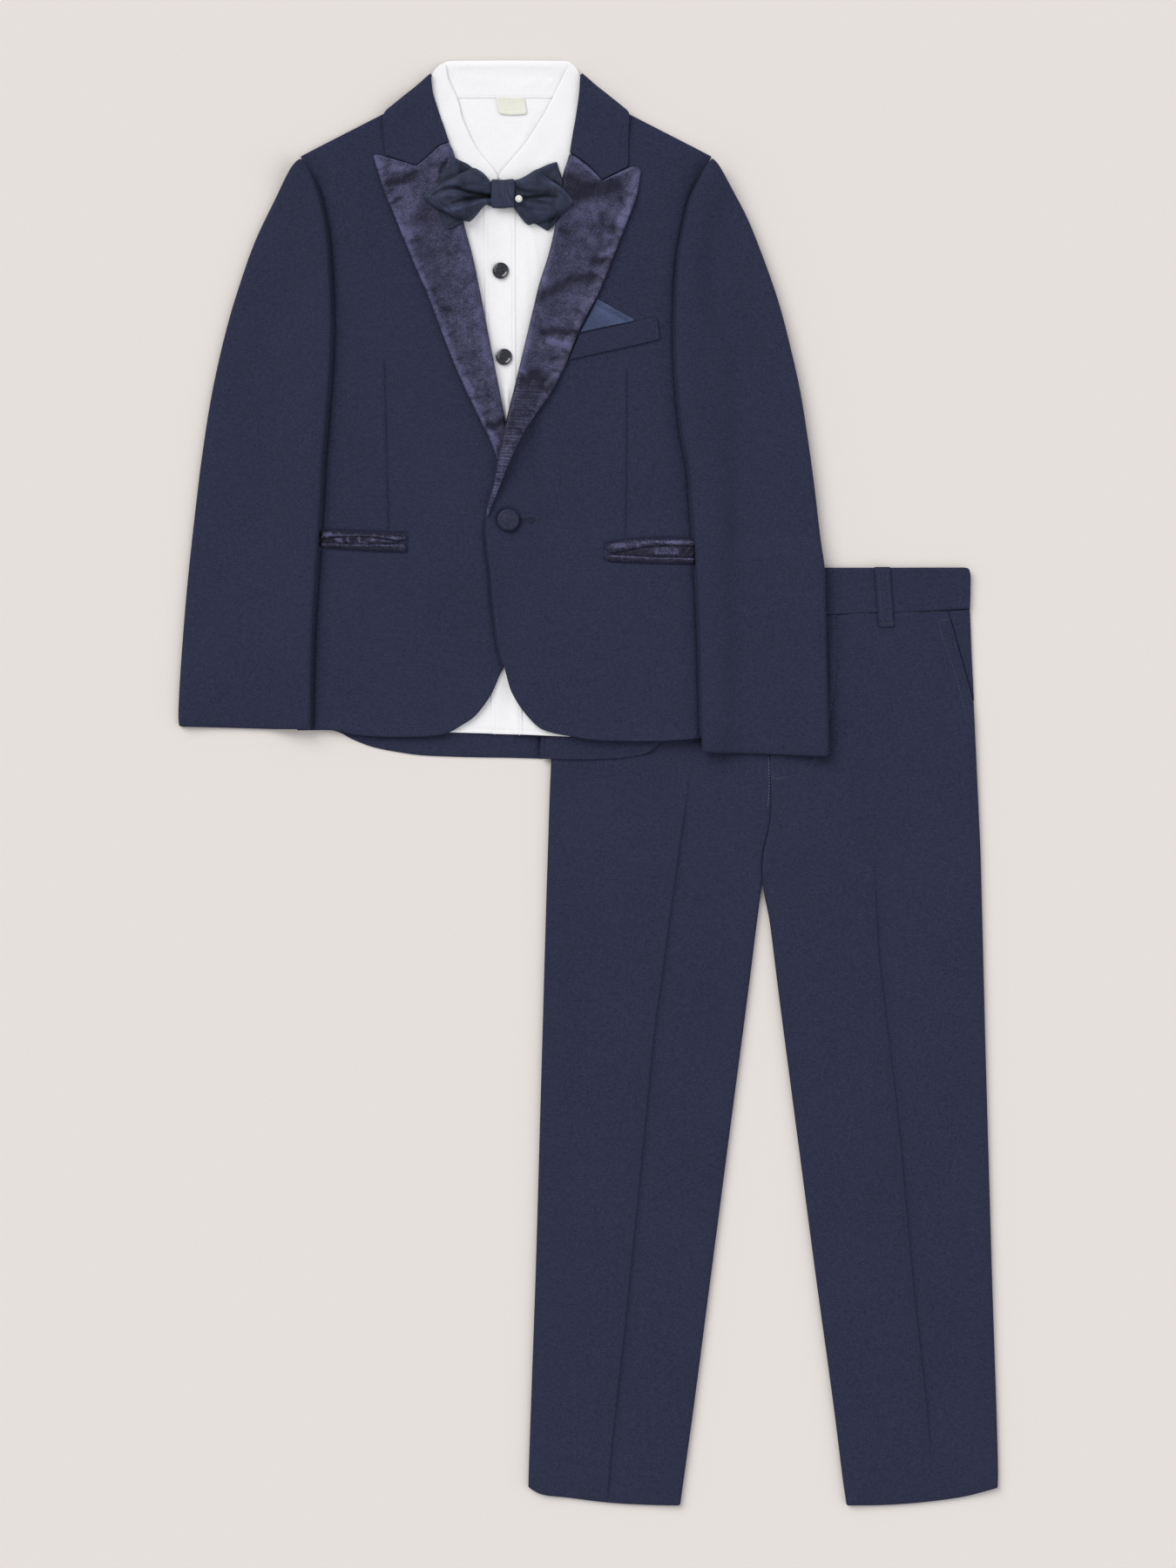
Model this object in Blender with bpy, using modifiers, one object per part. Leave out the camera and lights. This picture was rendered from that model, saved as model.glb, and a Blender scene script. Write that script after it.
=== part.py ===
# A boy's dinner suit laid out flat: jacket over a dress shirt with a bow tie, on top of its trousers.
# Lengths in the tables are millimetres. +X is towards the wearer's left side, +Y towards the neck,
# +Z off the surface that the suit lies on. Right and left in names are the wearer's.
import bmesh
import bpy
import numpy as np
from mathutils import Vector

MM = 0.001

# Walls, the air between two layers and along a seam, and how near two outline points are one.
SUIT_WALL = 1.2
TROUSER_WALL = 1.4
SHIRT_WALL = 1.0
WING_WALL = 1.8
KNOT_WALL = 4.2
GAP = 0.4
SAME_POINT = 0.05

# Height of each layer's underside over whatever the jacket rests on.
JACKET_BACK = 0.0
SHIRT_BACK = JACKET_BACK + SUIT_WALL + GAP
SHIRT_FRONT = SHIRT_BACK + SHIRT_WALL + GAP
JACKET_FRONT = SHIRT_FRONT + SHIRT_WALL + GAP
SHIRT_LEAF = JACKET_FRONT
JACKET_TRIM = JACKET_FRONT + SUIT_WALL + GAP
BOW_TAIL = JACKET_TRIM + SUIT_WALL + GAP
BOW_WING = BOW_TAIL + SHIRT_WALL + GAP
SLEEVE_TOP = SUIT_WALL + GAP
TROUSER_FRONT = TROUSER_WALL + GAP
TROUSER_LOOP = TROUSER_FRONT + TROUSER_WALL + GAP

# The jacket climbs onto the trousers, its sleeves climb onto its body, and its left front
# climbs onto the right one. Each slope rises from the first place to the second.
TROUSER_TOP_SLOPE = (183.5, 159.5)
TROUSER_SIDE_SLOPE = (-58.0, -28.0)
OVERLAP_SLOPE = (-26.0, -40.0)
OVERLAP_RISE = SUIT_WALL + GAP
RIGHT_SLEEVE_SLOPE = (-239.5, -215.5)
LEFT_SLEEVE_SLOPE = (115.5, 91.5)

# How far a sleeve's or a leg's upper panel stands up along its middle.
SLEEVE_CROWN = 1.6
LEG_CROWN = 1.4
LEG_CROWN_SLOPE = (10.0, -60.0)

BUTTON_RADIUS = 8.45
BUTTON_CENTRE = (-57.6, 193.4)
SHIRT_BUTTON_RADIUS = 6.0
SHIRT_BUTTON_HEIGHT = 2.0
SHIRT_BUTTON_CENTRES = {"upper": (-63.9, 376.7), "lower": (-61.4, 313.3)}
BUTTON_HOLE_RADIUS = 0.75
BUTTON_HOLE_OFFSET = 1.5
PIN_RADIUS = 2.7
PIN_CENTRE = (-50.6, 429.4)

# name: colour, roughness
FINISHES = {
    "suit_cloth": ((0.028, 0.030, 0.065), 0.85),
    "satin": ((0.045, 0.045, 0.102), 0.35),
    "bow_cloth": ((0.020, 0.030, 0.062), 0.55),
    "square_cloth": ((0.061, 0.098, 0.188), 0.60),
    "shirt_cotton": ((0.82, 0.82, 0.88), 0.80),
    "label_tape": ((0.80, 0.77, 0.68), 0.75),
    "navy_button": ((0.010, 0.014, 0.035), 0.20),
    "pearl": ((0.85, 0.85, 0.85), 0.25),
}

# Edges of the jacket's panels: each is a smooth line through a few (x, y) points.
RIGHT_ARMHOLE = ((-211.0, 461.0), (-201.0, 432.0), (-193.0, 395.0), (-191.5, 345.0), (-214.0, 300.0))
LEFT_ARMHOLE = ((91.0, 461.0), (79.0, 432.0), (69.0, 390.0), (67.5, 345.0), (90.0, 300.0))
RIGHT_ROLL = ((-60.4, 267.0), (-77.4, 353.9), (-90.4, 410.9), (-96.9, 456.0), (-103.4, 470.4))
LEFT_ROLL = ((-12.0, 462.4), (-23.9, 410.9), (-43.4, 332.4), (-58.4, 270.9), (-65.9, 235.4), (-73.4, 203.0))
LEFT_NECK = ((8.0, 503.5), (-20.0, 492.5), (-60.0, 489.0))
RIGHT_NECK = ((-60.0, 489.0), (-100.0, 492.5), (-128.0, 503.5))

# Sleeves and legs: a row for each section.
RIGHT_SLEEVE_ROWS = (
    # y, outer x, inner x
    (457.5, -213.0, -209.0),
    (443.0, -222.6, -201.4),
    (420.0, -235.0, -193.9),
    (383.4, -250.4, -189.4),
    (338.0, -264.8, -187.9),
    (288.0, -276.4, -190.0),
    (224.0, -286.0, -195.0),
    (143.4, -295.0, -200.4),
    (63.0, -300.4, -203.0),
    (41.5, -301.1, -203.4),
)
LEFT_SLEEVE_ROWS = (
    # y, outer x, inner x
    (457.5, 93.0, 88.5),
    (443.0, 102.6, 81.4),
    (420.0, 115.4, 72.8),
    (383.4, 130.1, 66.2),
    (338.0, 144.9, 64.1),
    (288.0, 156.5, 65.6),
    (224.0, 166.0, 74.7),
    (156.4, 174.6, 79.6),
    (98.0, 175.6, 82.1),
    (20.5, 177.6, 83.6),
)
RIGHT_LEG_ROWS = (
    # y, outer x, inner x
    (124.0, -18.0, 134.2),
    (17.0, -26.0, 134.7),
    (-29.0, -27.8, 135.0),
    (-55.0, -28.6, 131.0),
    (-75.0, -29.1, 128.5),
    (-99.0, -29.8, 124.6),
    (-180.0, -32.9, 114.8),
    (-257.0, -34.9, 104.8),
    (-385.0, -38.8, 88.0),
    (-519.0, -42.9, 69.7),
)
LEFT_LEG_ROWS = (
    # y, outer x, inner x
    (60.0, 284.0, 135.1),
    (17.0, 286.2, 135.1),
    (-29.0, 287.4, 135.4),
    (-55.0, 288.4, 131.4),
    (-75.0, 289.0, 128.9),
    (-103.0, 289.8, 134.2),
    (-180.0, 291.5, 143.7),
    (-257.0, 293.4, 153.9),
    (-385.0, 297.3, 171.2),
    (-519.0, 301.1, 188.9),
)
RIGHT_LEG_HEM = ((-42.9, -519.0), (-34.2, -522.9), (16.3, -529.3), (43.8, -530.9), (68.2, -531.2))
LEFT_LEG_HEM = ((190.6, -531.2), (218.6, -531.2), (246.0, -529.3), (276.8, -524.8), (301.1, -519.0))
POCKET_MOUTH = ((264.5, 127.0), (274.9, 91.5), (284.0, 60.0))
WAIST_TOP = 158.1


def smooth(points, steps=8):
    """Dense points on a smooth line that passes through the given ones."""
    if len(points) < 3:
        return np.array(points, float)
    p = np.array(points, float)
    p = np.vstack([2 * p[0] - p[1], p, 2 * p[-1] - p[-2]])
    line = []
    for a, b, c, d in zip(p[:-3], p[1:-2], p[2:-1], p[3:]):
        for t in np.arange(steps) / steps:
            bend = 2 * a - 5 * b + 4 * c - d + t * (3 * (b - c) + d - a)
            line.append(b + 0.5 * t * (c - a + t * bend))
    return np.array(line + [p[-2]])


def spaced(points, places):
    """Points on the smooth line through the given ones, at the given shares of its length."""
    line = smooth(points)
    run = np.concatenate([[0.0], np.cumsum(np.linalg.norm(np.diff(line, axis=0), axis=1))])
    at = np.asarray(places) * run[-1]
    return np.column_stack([np.interp(at, run, line[:, 0]), np.interp(at, run, line[:, 1])])


def outline(edges, step):
    """Closed outline: smooth edges, single corners, and straight lines from each to the next."""
    closed = []
    for edge in edges:
        length = np.linalg.norm(np.diff(smooth(edge), axis=0), axis=1).sum()
        count = 1 if len(edge) == 2 else max(len(edge) - 1, round(length / step))
        for point in edge if len(edge) == 1 else spaced(edge, np.linspace(0.0, 1.0, count + 1)):
            if not closed or np.linalg.norm(np.subtract(point, closed[-1])) > SAME_POINT:
                closed.append(point)
    if np.linalg.norm(np.subtract(closed[0], closed[-1])) < SAME_POINT:
        closed.pop()
    return closed


def up_edge(rows, column, lowest=None):
    """A sleeve's or leg's long edge from its table, bottom to top."""
    edge = [(row[column], row[0]) for row in reversed(rows)]
    return [lowest] + edge[1:] if lowest else edge


def ramp(value, slope):
    """0 at the slope's first place, 1 at its second, straight between them."""
    return min(max((value - slope[0]) / (slope[1] - slope[0]), 0.0), 1.0)


# What lies underneath lifts a piece by these heights.
def on_surface(x, y):
    return 0.0


def on_trousers(x, y):
    return TROUSER_LOOP * min(ramp(x, TROUSER_SIDE_SLOPE), ramp(y, TROUSER_TOP_SLOPE))


def on_right_front(x, y):
    return on_trousers(x, y) + OVERLAP_RISE * ramp(x, OVERLAP_SLOPE)


def right_sleeve_lift(x, y):
    return JACKET_TRIM * ramp(x, RIGHT_SLEEVE_SLOPE)


def left_sleeve_lift(x, y):
    return on_trousers(x, y) + JACKET_TRIM * ramp(x, LEFT_SLEEVE_SLOPE)


# Extra places along x where a lift changes slope.
CREASES = {
    on_surface: (),
    on_trousers: (),
    on_right_front: OVERLAP_SLOPE,
    right_sleeve_lift: RIGHT_SLEEVE_SLOPE,
    left_sleeve_lift: LEFT_SLEEVE_SLOPE,
}
OVER_TROUSERS = (on_trousers, on_right_front, left_sleeve_lift)


def cut_line(bm, point, direction, low=(-1000.0, -1000.0), high=(1000.0, 1000.0)):
    """Gives the flat sheet an edge along a line, in faces whose middle lies between low and high."""
    faces = []
    for face in bm.faces:
        middle = face.calc_center_median()
        if low[0] < middle.x < high[0] and low[1] < middle.y < high[1]:
            faces.append(face)
    if faces:
        verts = list({v for f in faces for v in f.verts})
        edges = list({e for f in faces for e in f.edges})
        place = (point[0], point[1], 0.0)
        bmesh.ops.bisect_plane(bm, geom=verts + edges + faces, dist=1e-4, plane_co=place, plane_no=direction)


def cut_creases(bm, lift):
    """Cuts the flat sheet wherever its lift changes slope, so that stacked sheets bend alike."""
    for x in CREASES[lift]:
        cut_line(bm, (x, 0.0), (1.0, 0.0, 0.0))
    if lift in OVER_TROUSERS:
        side_foot, side_head = TROUSER_SIDE_SLOPE
        top_foot, top_head = TROUSER_TOP_SLOPE
        cut_line(bm, (0.0, top_foot), (0.0, 1.0, 0.0))
        cut_line(bm, (0.0, top_head), (0.0, 1.0, 0.0))
        for x in TROUSER_SIDE_SLOPE:
            cut_line(bm, (x, 0.0), (1.0, 0.0, 0.0), high=(1000.0, top_foot))
        across = (top_foot - top_head, side_head - side_foot, 0.0)
        cut_line(bm, (side_foot, top_foot), across, low=(side_foot, top_head), high=(side_head, top_foot))


def add_node(node, mesh, finish):
    """An object for the mesh, with a material of its own."""
    colour, roughness = FINISHES[finish]
    material = bpy.data.materials.new(f"{node}_{finish}")
    material.use_nodes = True
    shader = material.node_tree.nodes["Principled BSDF"]
    shader.inputs["Base Color"].default_value = (*colour, 1.0)
    shader.inputs["Roughness"].default_value = roughness
    shader.inputs["Metallic"].default_value = 0.0
    mesh.materials.append(material)
    piece = bpy.data.objects.new(node, mesh)
    pieces.objects.link(piece)
    return piece


def make_wall(node, bm, finish, level, wall, lift):
    """Turns a flat sheet in millimetres into a cloth wall that lies at its level."""
    bmesh.ops.remove_doubles(bm, verts=bm.verts, dist=0.01)
    bm.normal_update()
    facing_down = [face for face in bm.faces if face.normal.z < 0]
    bmesh.ops.reverse_faces(bm, faces=facing_down)
    cut_creases(bm, lift)
    bmesh.ops.triangulate(bm, faces=bm.faces)
    for vert in bm.verts:
        height = level + vert.co.z + lift(vert.co.x, vert.co.y)
        vert.co = Vector((vert.co.x, vert.co.y, height)) * MM
    mesh = bpy.data.meshes.new(node)
    bm.to_mesh(mesh)
    bm.free()
    thick = add_node(node, mesh, finish).modifiers.new("wall", "SOLIDIFY")
    thick.thickness = wall * MM
    thick.offset = 1.0
    thick.use_even_offset = True


def cut_piece(node, edges, finish, level, wall=SUIT_WALL, lift=on_trousers, step=16.0):
    """A piece cut to an outline."""
    curve = bpy.data.curves.new(node, "CURVE")
    curve.dimensions = "2D"
    curve.fill_mode = "BOTH"
    points = outline(edges, step)
    spline = curve.splines.new("POLY")
    spline.points.add(len(points) - 1)
    for point, (x, y) in zip(spline.points, points):
        point.co = (x, y, 0.0, 1.0)
    spline.use_cyclic_u = True
    guide = bpy.data.objects.new(f"{node}_outline", curve)
    guides.objects.link(guide)
    depsgraph = bpy.context.evaluated_depsgraph_get()
    filled = bpy.data.meshes.new_from_object(guide.evaluated_get(depsgraph))
    bm = bmesh.new()
    bm.from_mesh(filled)
    bpy.data.meshes.remove(filled)
    bpy.data.objects.remove(guide)
    bpy.data.curves.remove(curve)
    make_wall(node, bm, finish, level, wall, lift)


def crowned_piece(node, edges, columns, rows, crown, level, wall, lift):
    """A suit cloth panel between four edges (bottom, top, left, right), raised along its middle.

    columns pairs each column's place across the panel with its share of the crown."""
    across = [place for place, share in columns]
    bottom, top = spaced(edges[0], across), spaced(edges[1], across)
    upward = np.linspace(0.0, 1.0, rows + 1)
    left, right = spaced(edges[2], upward), spaced(edges[3], upward)
    bm = bmesh.new()
    bmesh.ops.create_grid(bm, x_segments=len(columns) - 1, y_segments=rows, size=0.5)
    for vert in bm.verts:
        column = round((vert.co.x + 0.5) * (len(columns) - 1))
        row = round((vert.co.y + 0.5) * rows)
        u, v = across[column], upward[row]
        place = (1 - v) * bottom[column] + v * top[column] + (1 - u) * left[row] + u * right[row]
        place -= (1 - v) * ((1 - u) * bottom[0] + u * bottom[-1]) + v * ((1 - u) * top[0] + u * top[-1])
        vert.co = (place[0], place[1], crown(place[1]) * columns[column][1])
    make_wall(node, bm, "suit_cloth", level, wall, lift)


def make_trousers():
    """Back panels, front panels with pressed creases, waistband, pocket facing and belt loop."""
    creased = ((0.0, 0.0), (0.22, 0.65), (0.47, 1.0), (0.74, 0.65), (1.0, 0.0))
    right_outer = up_edge(RIGHT_LEG_ROWS, 1)
    right_inner = up_edge(RIGHT_LEG_ROWS, 2, RIGHT_LEG_HEM[-1])
    left_outer = up_edge(LEFT_LEG_ROWS, 1)
    left_inner = up_edge(LEFT_LEG_ROWS, 2, LEFT_LEG_HEM[0])
    left_inner[-1:] = [(135.1, 60.0), (134.8, 122.6)]

    def leg_crown(y):
        return LEG_CROWN * ramp(y, LEG_CROWN_SLOPE)

    right_waist = (right_outer[-1], right_inner[-1])
    crowned_piece("trouser_front_right", (RIGHT_LEG_HEM, right_waist, right_outer, right_inner),
                  creased, 15, leg_crown, TROUSER_FRONT, TROUSER_WALL, on_surface)
    left_waist = ((134.8, 122.6), (176.0, 123.8), (213.0, 125.6), POCKET_MOUTH[0])
    mouth_side = left_outer[:-1] + list(POCKET_MOUTH[::-1])
    crowned_piece("trouser_front_left", (LEFT_LEG_HEM, left_waist, left_inner, mouth_side),
                  creased, 17, leg_crown, TROUSER_FRONT, TROUSER_WALL, on_surface)
    facing_mouth = [(x + GAP, y) for x, y in POCKET_MOUTH]
    cut_piece("trouser_pocket_facing", (facing_mouth, ((284.6, 60.0), (282.3, 95.0), (280.8, 128.0))),
              "suit_cloth", TROUSER_FRONT, lift=on_surface)

    back_seam = 124.0
    cut_piece("trouser_back_right",
              (RIGHT_LEG_HEM, right_inner, right_outer[::-1]),
              "suit_cloth", 0.0, TROUSER_WALL, on_surface, step=60.0)
    side = left_outer[:-1] + [(284.0, 60.0), (282.3, 95.0), (280.8, back_seam)]
    cut_piece("trouser_back_left",
              (LEFT_LEG_HEM, side, [(134.8, back_seam)] + left_inner[:-1][::-1]),
              "suit_cloth", 0.0, TROUSER_WALL, on_surface, step=60.0)

    band_end = ((280.6, 128.8), (281.0, 145.0), (280.6, WAIST_TOP))
    cut_piece("trouser_waistband_back",
              (((-18.0, back_seam + GAP), (280.8, back_seam + GAP)), band_end, ((-15.7, WAIST_TOP),)),
              "suit_cloth", 0.0, TROUSER_WALL, on_surface)
    cut_piece("trouser_waistband_right",
              (((-18.0, back_seam + GAP), (134.2, back_seam + GAP)),
               ((134.2, WAIST_TOP), (-15.7, WAIST_TOP))),
              "suit_cloth", TROUSER_FRONT, TROUSER_WALL, on_surface)
    cut_piece("trouser_waistband_left",
              (((134.8, 123.0), (176.0, 124.2), (213.0, 126.0), (280.6, 128.8)),
               band_end, ((134.8, WAIST_TOP),)),
              "suit_cloth", TROUSER_FRONT, TROUSER_WALL, on_surface)
    cut_piece("trouser_belt_loop",
              (((214.1, 114.6), (225.6, 114.6)), ((222.4, WAIST_TOP), (210.9, WAIST_TOP))),
              "suit_cloth", TROUSER_LOOP, lift=on_surface)


def make_jacket_body():
    """Two backs with a seam down the middle, and two fronts, the left over the right."""
    right_hem = ((-213.6, 44.0), (-186.0, 38.5), (-161.0, 27.5), (-137.0, 22.4), (-80.0, 18.8), (-32.4, 18.2))
    left_hem = ((-31.6, 18.2), (-4.4, 17.6), (26.4, 18.8), (44.5, 22.6), (58.0, 34.0), (89.8, 44.0))
    cut_piece("jacket_back_right",
              (RIGHT_ARMHOLE, right_hem, ((-60.4, 489.0), *RIGHT_NECK[1:])),
              "suit_cloth", JACKET_BACK)
    cut_piece("jacket_back_left",
              (LEFT_NECK, left_hem, LEFT_ARMHOLE[::-1]),
              "suit_cloth", JACKET_BACK)
    front_hem = ((-213.6, 41.0), (-178.0, 35.9), (-146.0, 33.9), (-115.0, 34.6), (-96.6, 40.4),
                 (-71.4, 63.4), (-63.9, 79.4))
    hidden_edge = ((-63.9, 79.4), (-45.0, 140.0), (-42.0, 190.0), (-51.0, 250.0), RIGHT_ROLL[0])
    neck = ((-103.4, 470.4), (-118.0, 486.0), (-128.0, 503.5))
    cut_piece("jacket_front_right",
              (RIGHT_ARMHOLE, front_hem, hidden_edge, RIGHT_ROLL, neck),
              "suit_cloth", JACKET_FRONT)
    front_edge = ((-73.4, 203.0), (-74.4, 191.4), (-70.4, 153.0), (-65.4, 107.4), (-61.4, 85.4))
    cutaway = ((-61.4, 85.4), (-53.4, 63.4), (-43.9, 47.4), (-28.4, 37.9), (7.0, 31.4), (43.6, 30.9),
               (89.8, 35.0))
    neck = ((8.0, 503.5), (-2.0, 486.0), (-12.0, 462.4))
    cut_piece("jacket_front_left",
              (neck, LEFT_ROLL, front_edge, cutaway, LEFT_ARMHOLE[::-1]),
              "suit_cloth", JACKET_FRONT, lift=on_right_front)


def make_sleeves():
    """Each sleeve is an under panel and a crowned top panel that meet at both edges."""
    domed = ((0.0, 0.0), (0.12, 0.6), (0.35, 1.0), (0.65, 1.0), (0.88, 0.6), (1.0, 0.0))
    sleeves = (
        # side, rows, left edge's column, right edge's column, lift
        ("right", RIGHT_SLEEVE_ROWS, 1, 2, right_sleeve_lift),
        ("left", LEFT_SLEEVE_ROWS, 2, 1, left_sleeve_lift),
    )
    for side, rows, left_column, right_column, lift in sleeves:
        left, right = up_edge(rows, left_column), up_edge(rows, right_column)
        cuff, head = (left[0], right[0]), (left[-1], right[-1])
        cut_piece(f"jacket_sleeve_{side}_under", (right, left[::-1]),
                  "suit_cloth", 0.0, lift=lift, step=32.0)
        crowned_piece(f"jacket_sleeve_{side}_top", (cuff, head, left, right), domed, 14,
                      lambda y: SLEEVE_CROWN, SLEEVE_TOP, SUIT_WALL, lift)


def make_lapels_and_collar():
    """Peak lapels in satin, the collar's two ends and the collar's back behind the neck."""
    right_roll = ((-62.0, 267.0), (-77.9, 353.9), (-90.9, 410.9), (-97.4, 456.0), (-103.9, 470.2))
    cut_piece("jacket_lapel_right",
              (((-67.0, 236.5),), right_roll, ((-125.9, 453.4), (-139.4, 457.4), (-157.4, 460.9)),
               ((-157.4, 460.9), (-139.4, 410.9), (-116.9, 357.4), (-91.4, 292.9), (-67.0, 236.5))),
              "satin", JACKET_TRIM)
    cut_piece("jacket_lapel_left",
              (LEFT_ROLL, ((-71.9, 200.4), (-49.9, 251.4), (-15.9, 308.9), (7.1, 358.9), (28.6, 410.9),
                           (39.1, 451.0)), ((37.8, 454.4), (33.6, 455.2), (10.6, 443.4))),
              "satin", JACKET_TRIM, lift=on_right_front)
    right_fold = ((-149.4, 461.6), (-149.9, 488.9), (-146.5, 495.0), (-115.0, 521.4))
    cut_piece("jacket_collar_right",
              (right_fold, ((-115.0, 521.4), (-112.9, 504.9), (-104.4, 471.2)), ((-126.2, 454.4),)),
              "suit_cloth", JACKET_TRIM)
    left_fold = ((-4.4, 521.4), (27.5, 495.4), (30.1, 488.9), (30.9, 456.6))
    cut_piece("jacket_collar_left",
              (left_fold, ((10.7, 444.6),), ((-11.6, 463.2), (-6.9, 502.4), (-4.4, 521.4))),
              "suit_cloth", JACKET_TRIM)
    left_neck, right_neck = ([(x, y + GAP) for x, y in neck] for neck in (LEFT_NECK, RIGHT_NECK))
    cut_piece("jacket_collar_back",
              (right_neck, ((-146.5, 495.0), (-115.0, 521.4)), ((-4.4, 521.4), (27.5, 495.4)), left_neck),
              "suit_cloth", JACKET_BACK)


def make_jacket_pockets():
    """The chest welt with its folded square, and a satin hip pocket on each front."""
    cut_piece("jacket_chest_welt",
              (((-4.6, 329.9), (10.6, 333.4), (30.1, 337.9), (48.3, 342.4)), ((51.2, 340.0),),
               ((53.0, 325.8), (30.1, 320.6), (4.2, 314.9), (-12.6, 311.2))),
              "suit_cloth", JACKET_TRIM)
    cut_piece("pocket_square",
              (((-4.0, 330.9), (33.6, 339.6)), ((8.4, 356.4), (0.2, 340.0))),
              "square_cloth", JACKET_TRIM, SHIRT_WALL)
    jet, bag = 3.4, 4.2
    pockets = (
        # side, upper edge from left to right
        ("right", ((-195.2, 185.2), (-161.6, 184.0), (-132.8, 182.8))),
        ("left", ((14.5, 175.6), (29.1, 177.9), (51.5, 179.2), (76.8, 178.6))),
    )
    for side, top in pockets:
        strips = (("upper_jet", 0.0, jet), ("bag", jet + GAP, bag), ("lower_jet", jet + bag + 2 * GAP, jet))
        for name, drop, height in strips:
            upper = [(x, y - drop) for x, y in top]
            lower = [(x, y - height) for x, y in upper[::-1]]
            cut_piece(f"jacket_pocket_{side}_{name}", (upper, lower),
                      "satin", JACKET_TRIM, SHIRT_WALL, step=30.0)


def make_shirt():
    """Back, two fronts, button strip, collar with its two leaves, and a plain neck label."""
    side_level, hem = 300.0, 36.0
    cotton = {"finish": "shirt_cotton", "wall": SHIRT_WALL}
    neck = ((-12.0, 500.0), (-34.0, 503.2), (-84.0, 503.2), (-106.0, 500.0))
    right_arm = ((-195.0, 457.0), (-180.0, 400.0), (-182.0, 345.0), (-206.0, side_level))
    left_arm = ((76.0, 457.0), (60.0, 400.0), (58.0, 345.0), (82.0, side_level))
    cut_piece("shirt_back", (neck, right_arm, ((-200.0, hem), (78.0, hem)), left_arm[::-1]),
              level=SHIRT_BACK, step=24.0, **cotton)
    strip_right = ((-75.9, 445.5), (-74.9, 283.0), (-70.5, hem))
    strip_left = ((-47.5, hem), (-52.8, 283.0), (-53.5, 445.5))
    cut_piece("shirt_placket", (strip_right, strip_left), level=SHIRT_FRONT, step=24.0, **cotton)
    inner = [(x - GAP, y) for x, y in strip_right]
    cut_piece("shirt_front_right",
              (inner, ((-200.0, hem),), right_arm[::-1],
               (neck[-1], (-98.0, 492.0), (-84.0, 462.0), inner[0])),
              level=SHIRT_FRONT, step=24.0, **cotton)
    inner = [(x + GAP, y) for x, y in strip_left]
    cut_piece("shirt_front_left",
              (inner, (inner[-1], (-40.0, 466.0), (-26.0, 490.0), neck[0]),
               left_arm, ((78.0, hem),)),
              level=SHIRT_FRONT, step=24.0, **cotton)

    band_foot = 504.4
    top = ((-113.0, 521.0), (-110.0, 528.6), (-105.3, 531.2))
    other_top = ((-13.1, 531.2), (-8.6, 528.0), (-6.4, 521.0))
    for name, level in (("fall", SHIRT_BACK), ("band", SHIRT_FRONT)):
        cut_piece(f"shirt_collar_{name}",
                  (((-104.0, band_foot),), top, other_top, ((-14.0, band_foot),)),
                  level=level, step=6.0, **cotton)
    right_leaf = ((-113.2, 519.0), (-112.6, 502.0), (-102.0, 470.4), (-95.4, 456.0), (-92.5, 434.0))
    cut_piece("shirt_collar_leaf_right",
              (right_leaf, ((-66.2, 444.0), (-77.9, 458.4), (-90.4, 481.4), (-107.4, 526.7))),
              level=SHIRT_LEAF, **cotton)
    left_leaf = ((-38.0, 430.0), (-20.0, 446.0), (-13.8, 459.0), (-6.9, 502.0), (-5.4, 519.0))
    cut_piece("shirt_collar_leaf_left",
              (left_leaf, ((-13.5, 527.0), (-31.7, 487.7), (-44.8, 468.1), (-65.4, 444.6))),
              level=SHIRT_LEAF, **cotton)
    cut_piece("shirt_label", (((-67.3, 504.0), (-66.9, 491.4)), ((-46.4, 491.4), (-46.1, 504.0))),
              "label_tape", SHIRT_FRONT, SHIRT_WALL)


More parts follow.
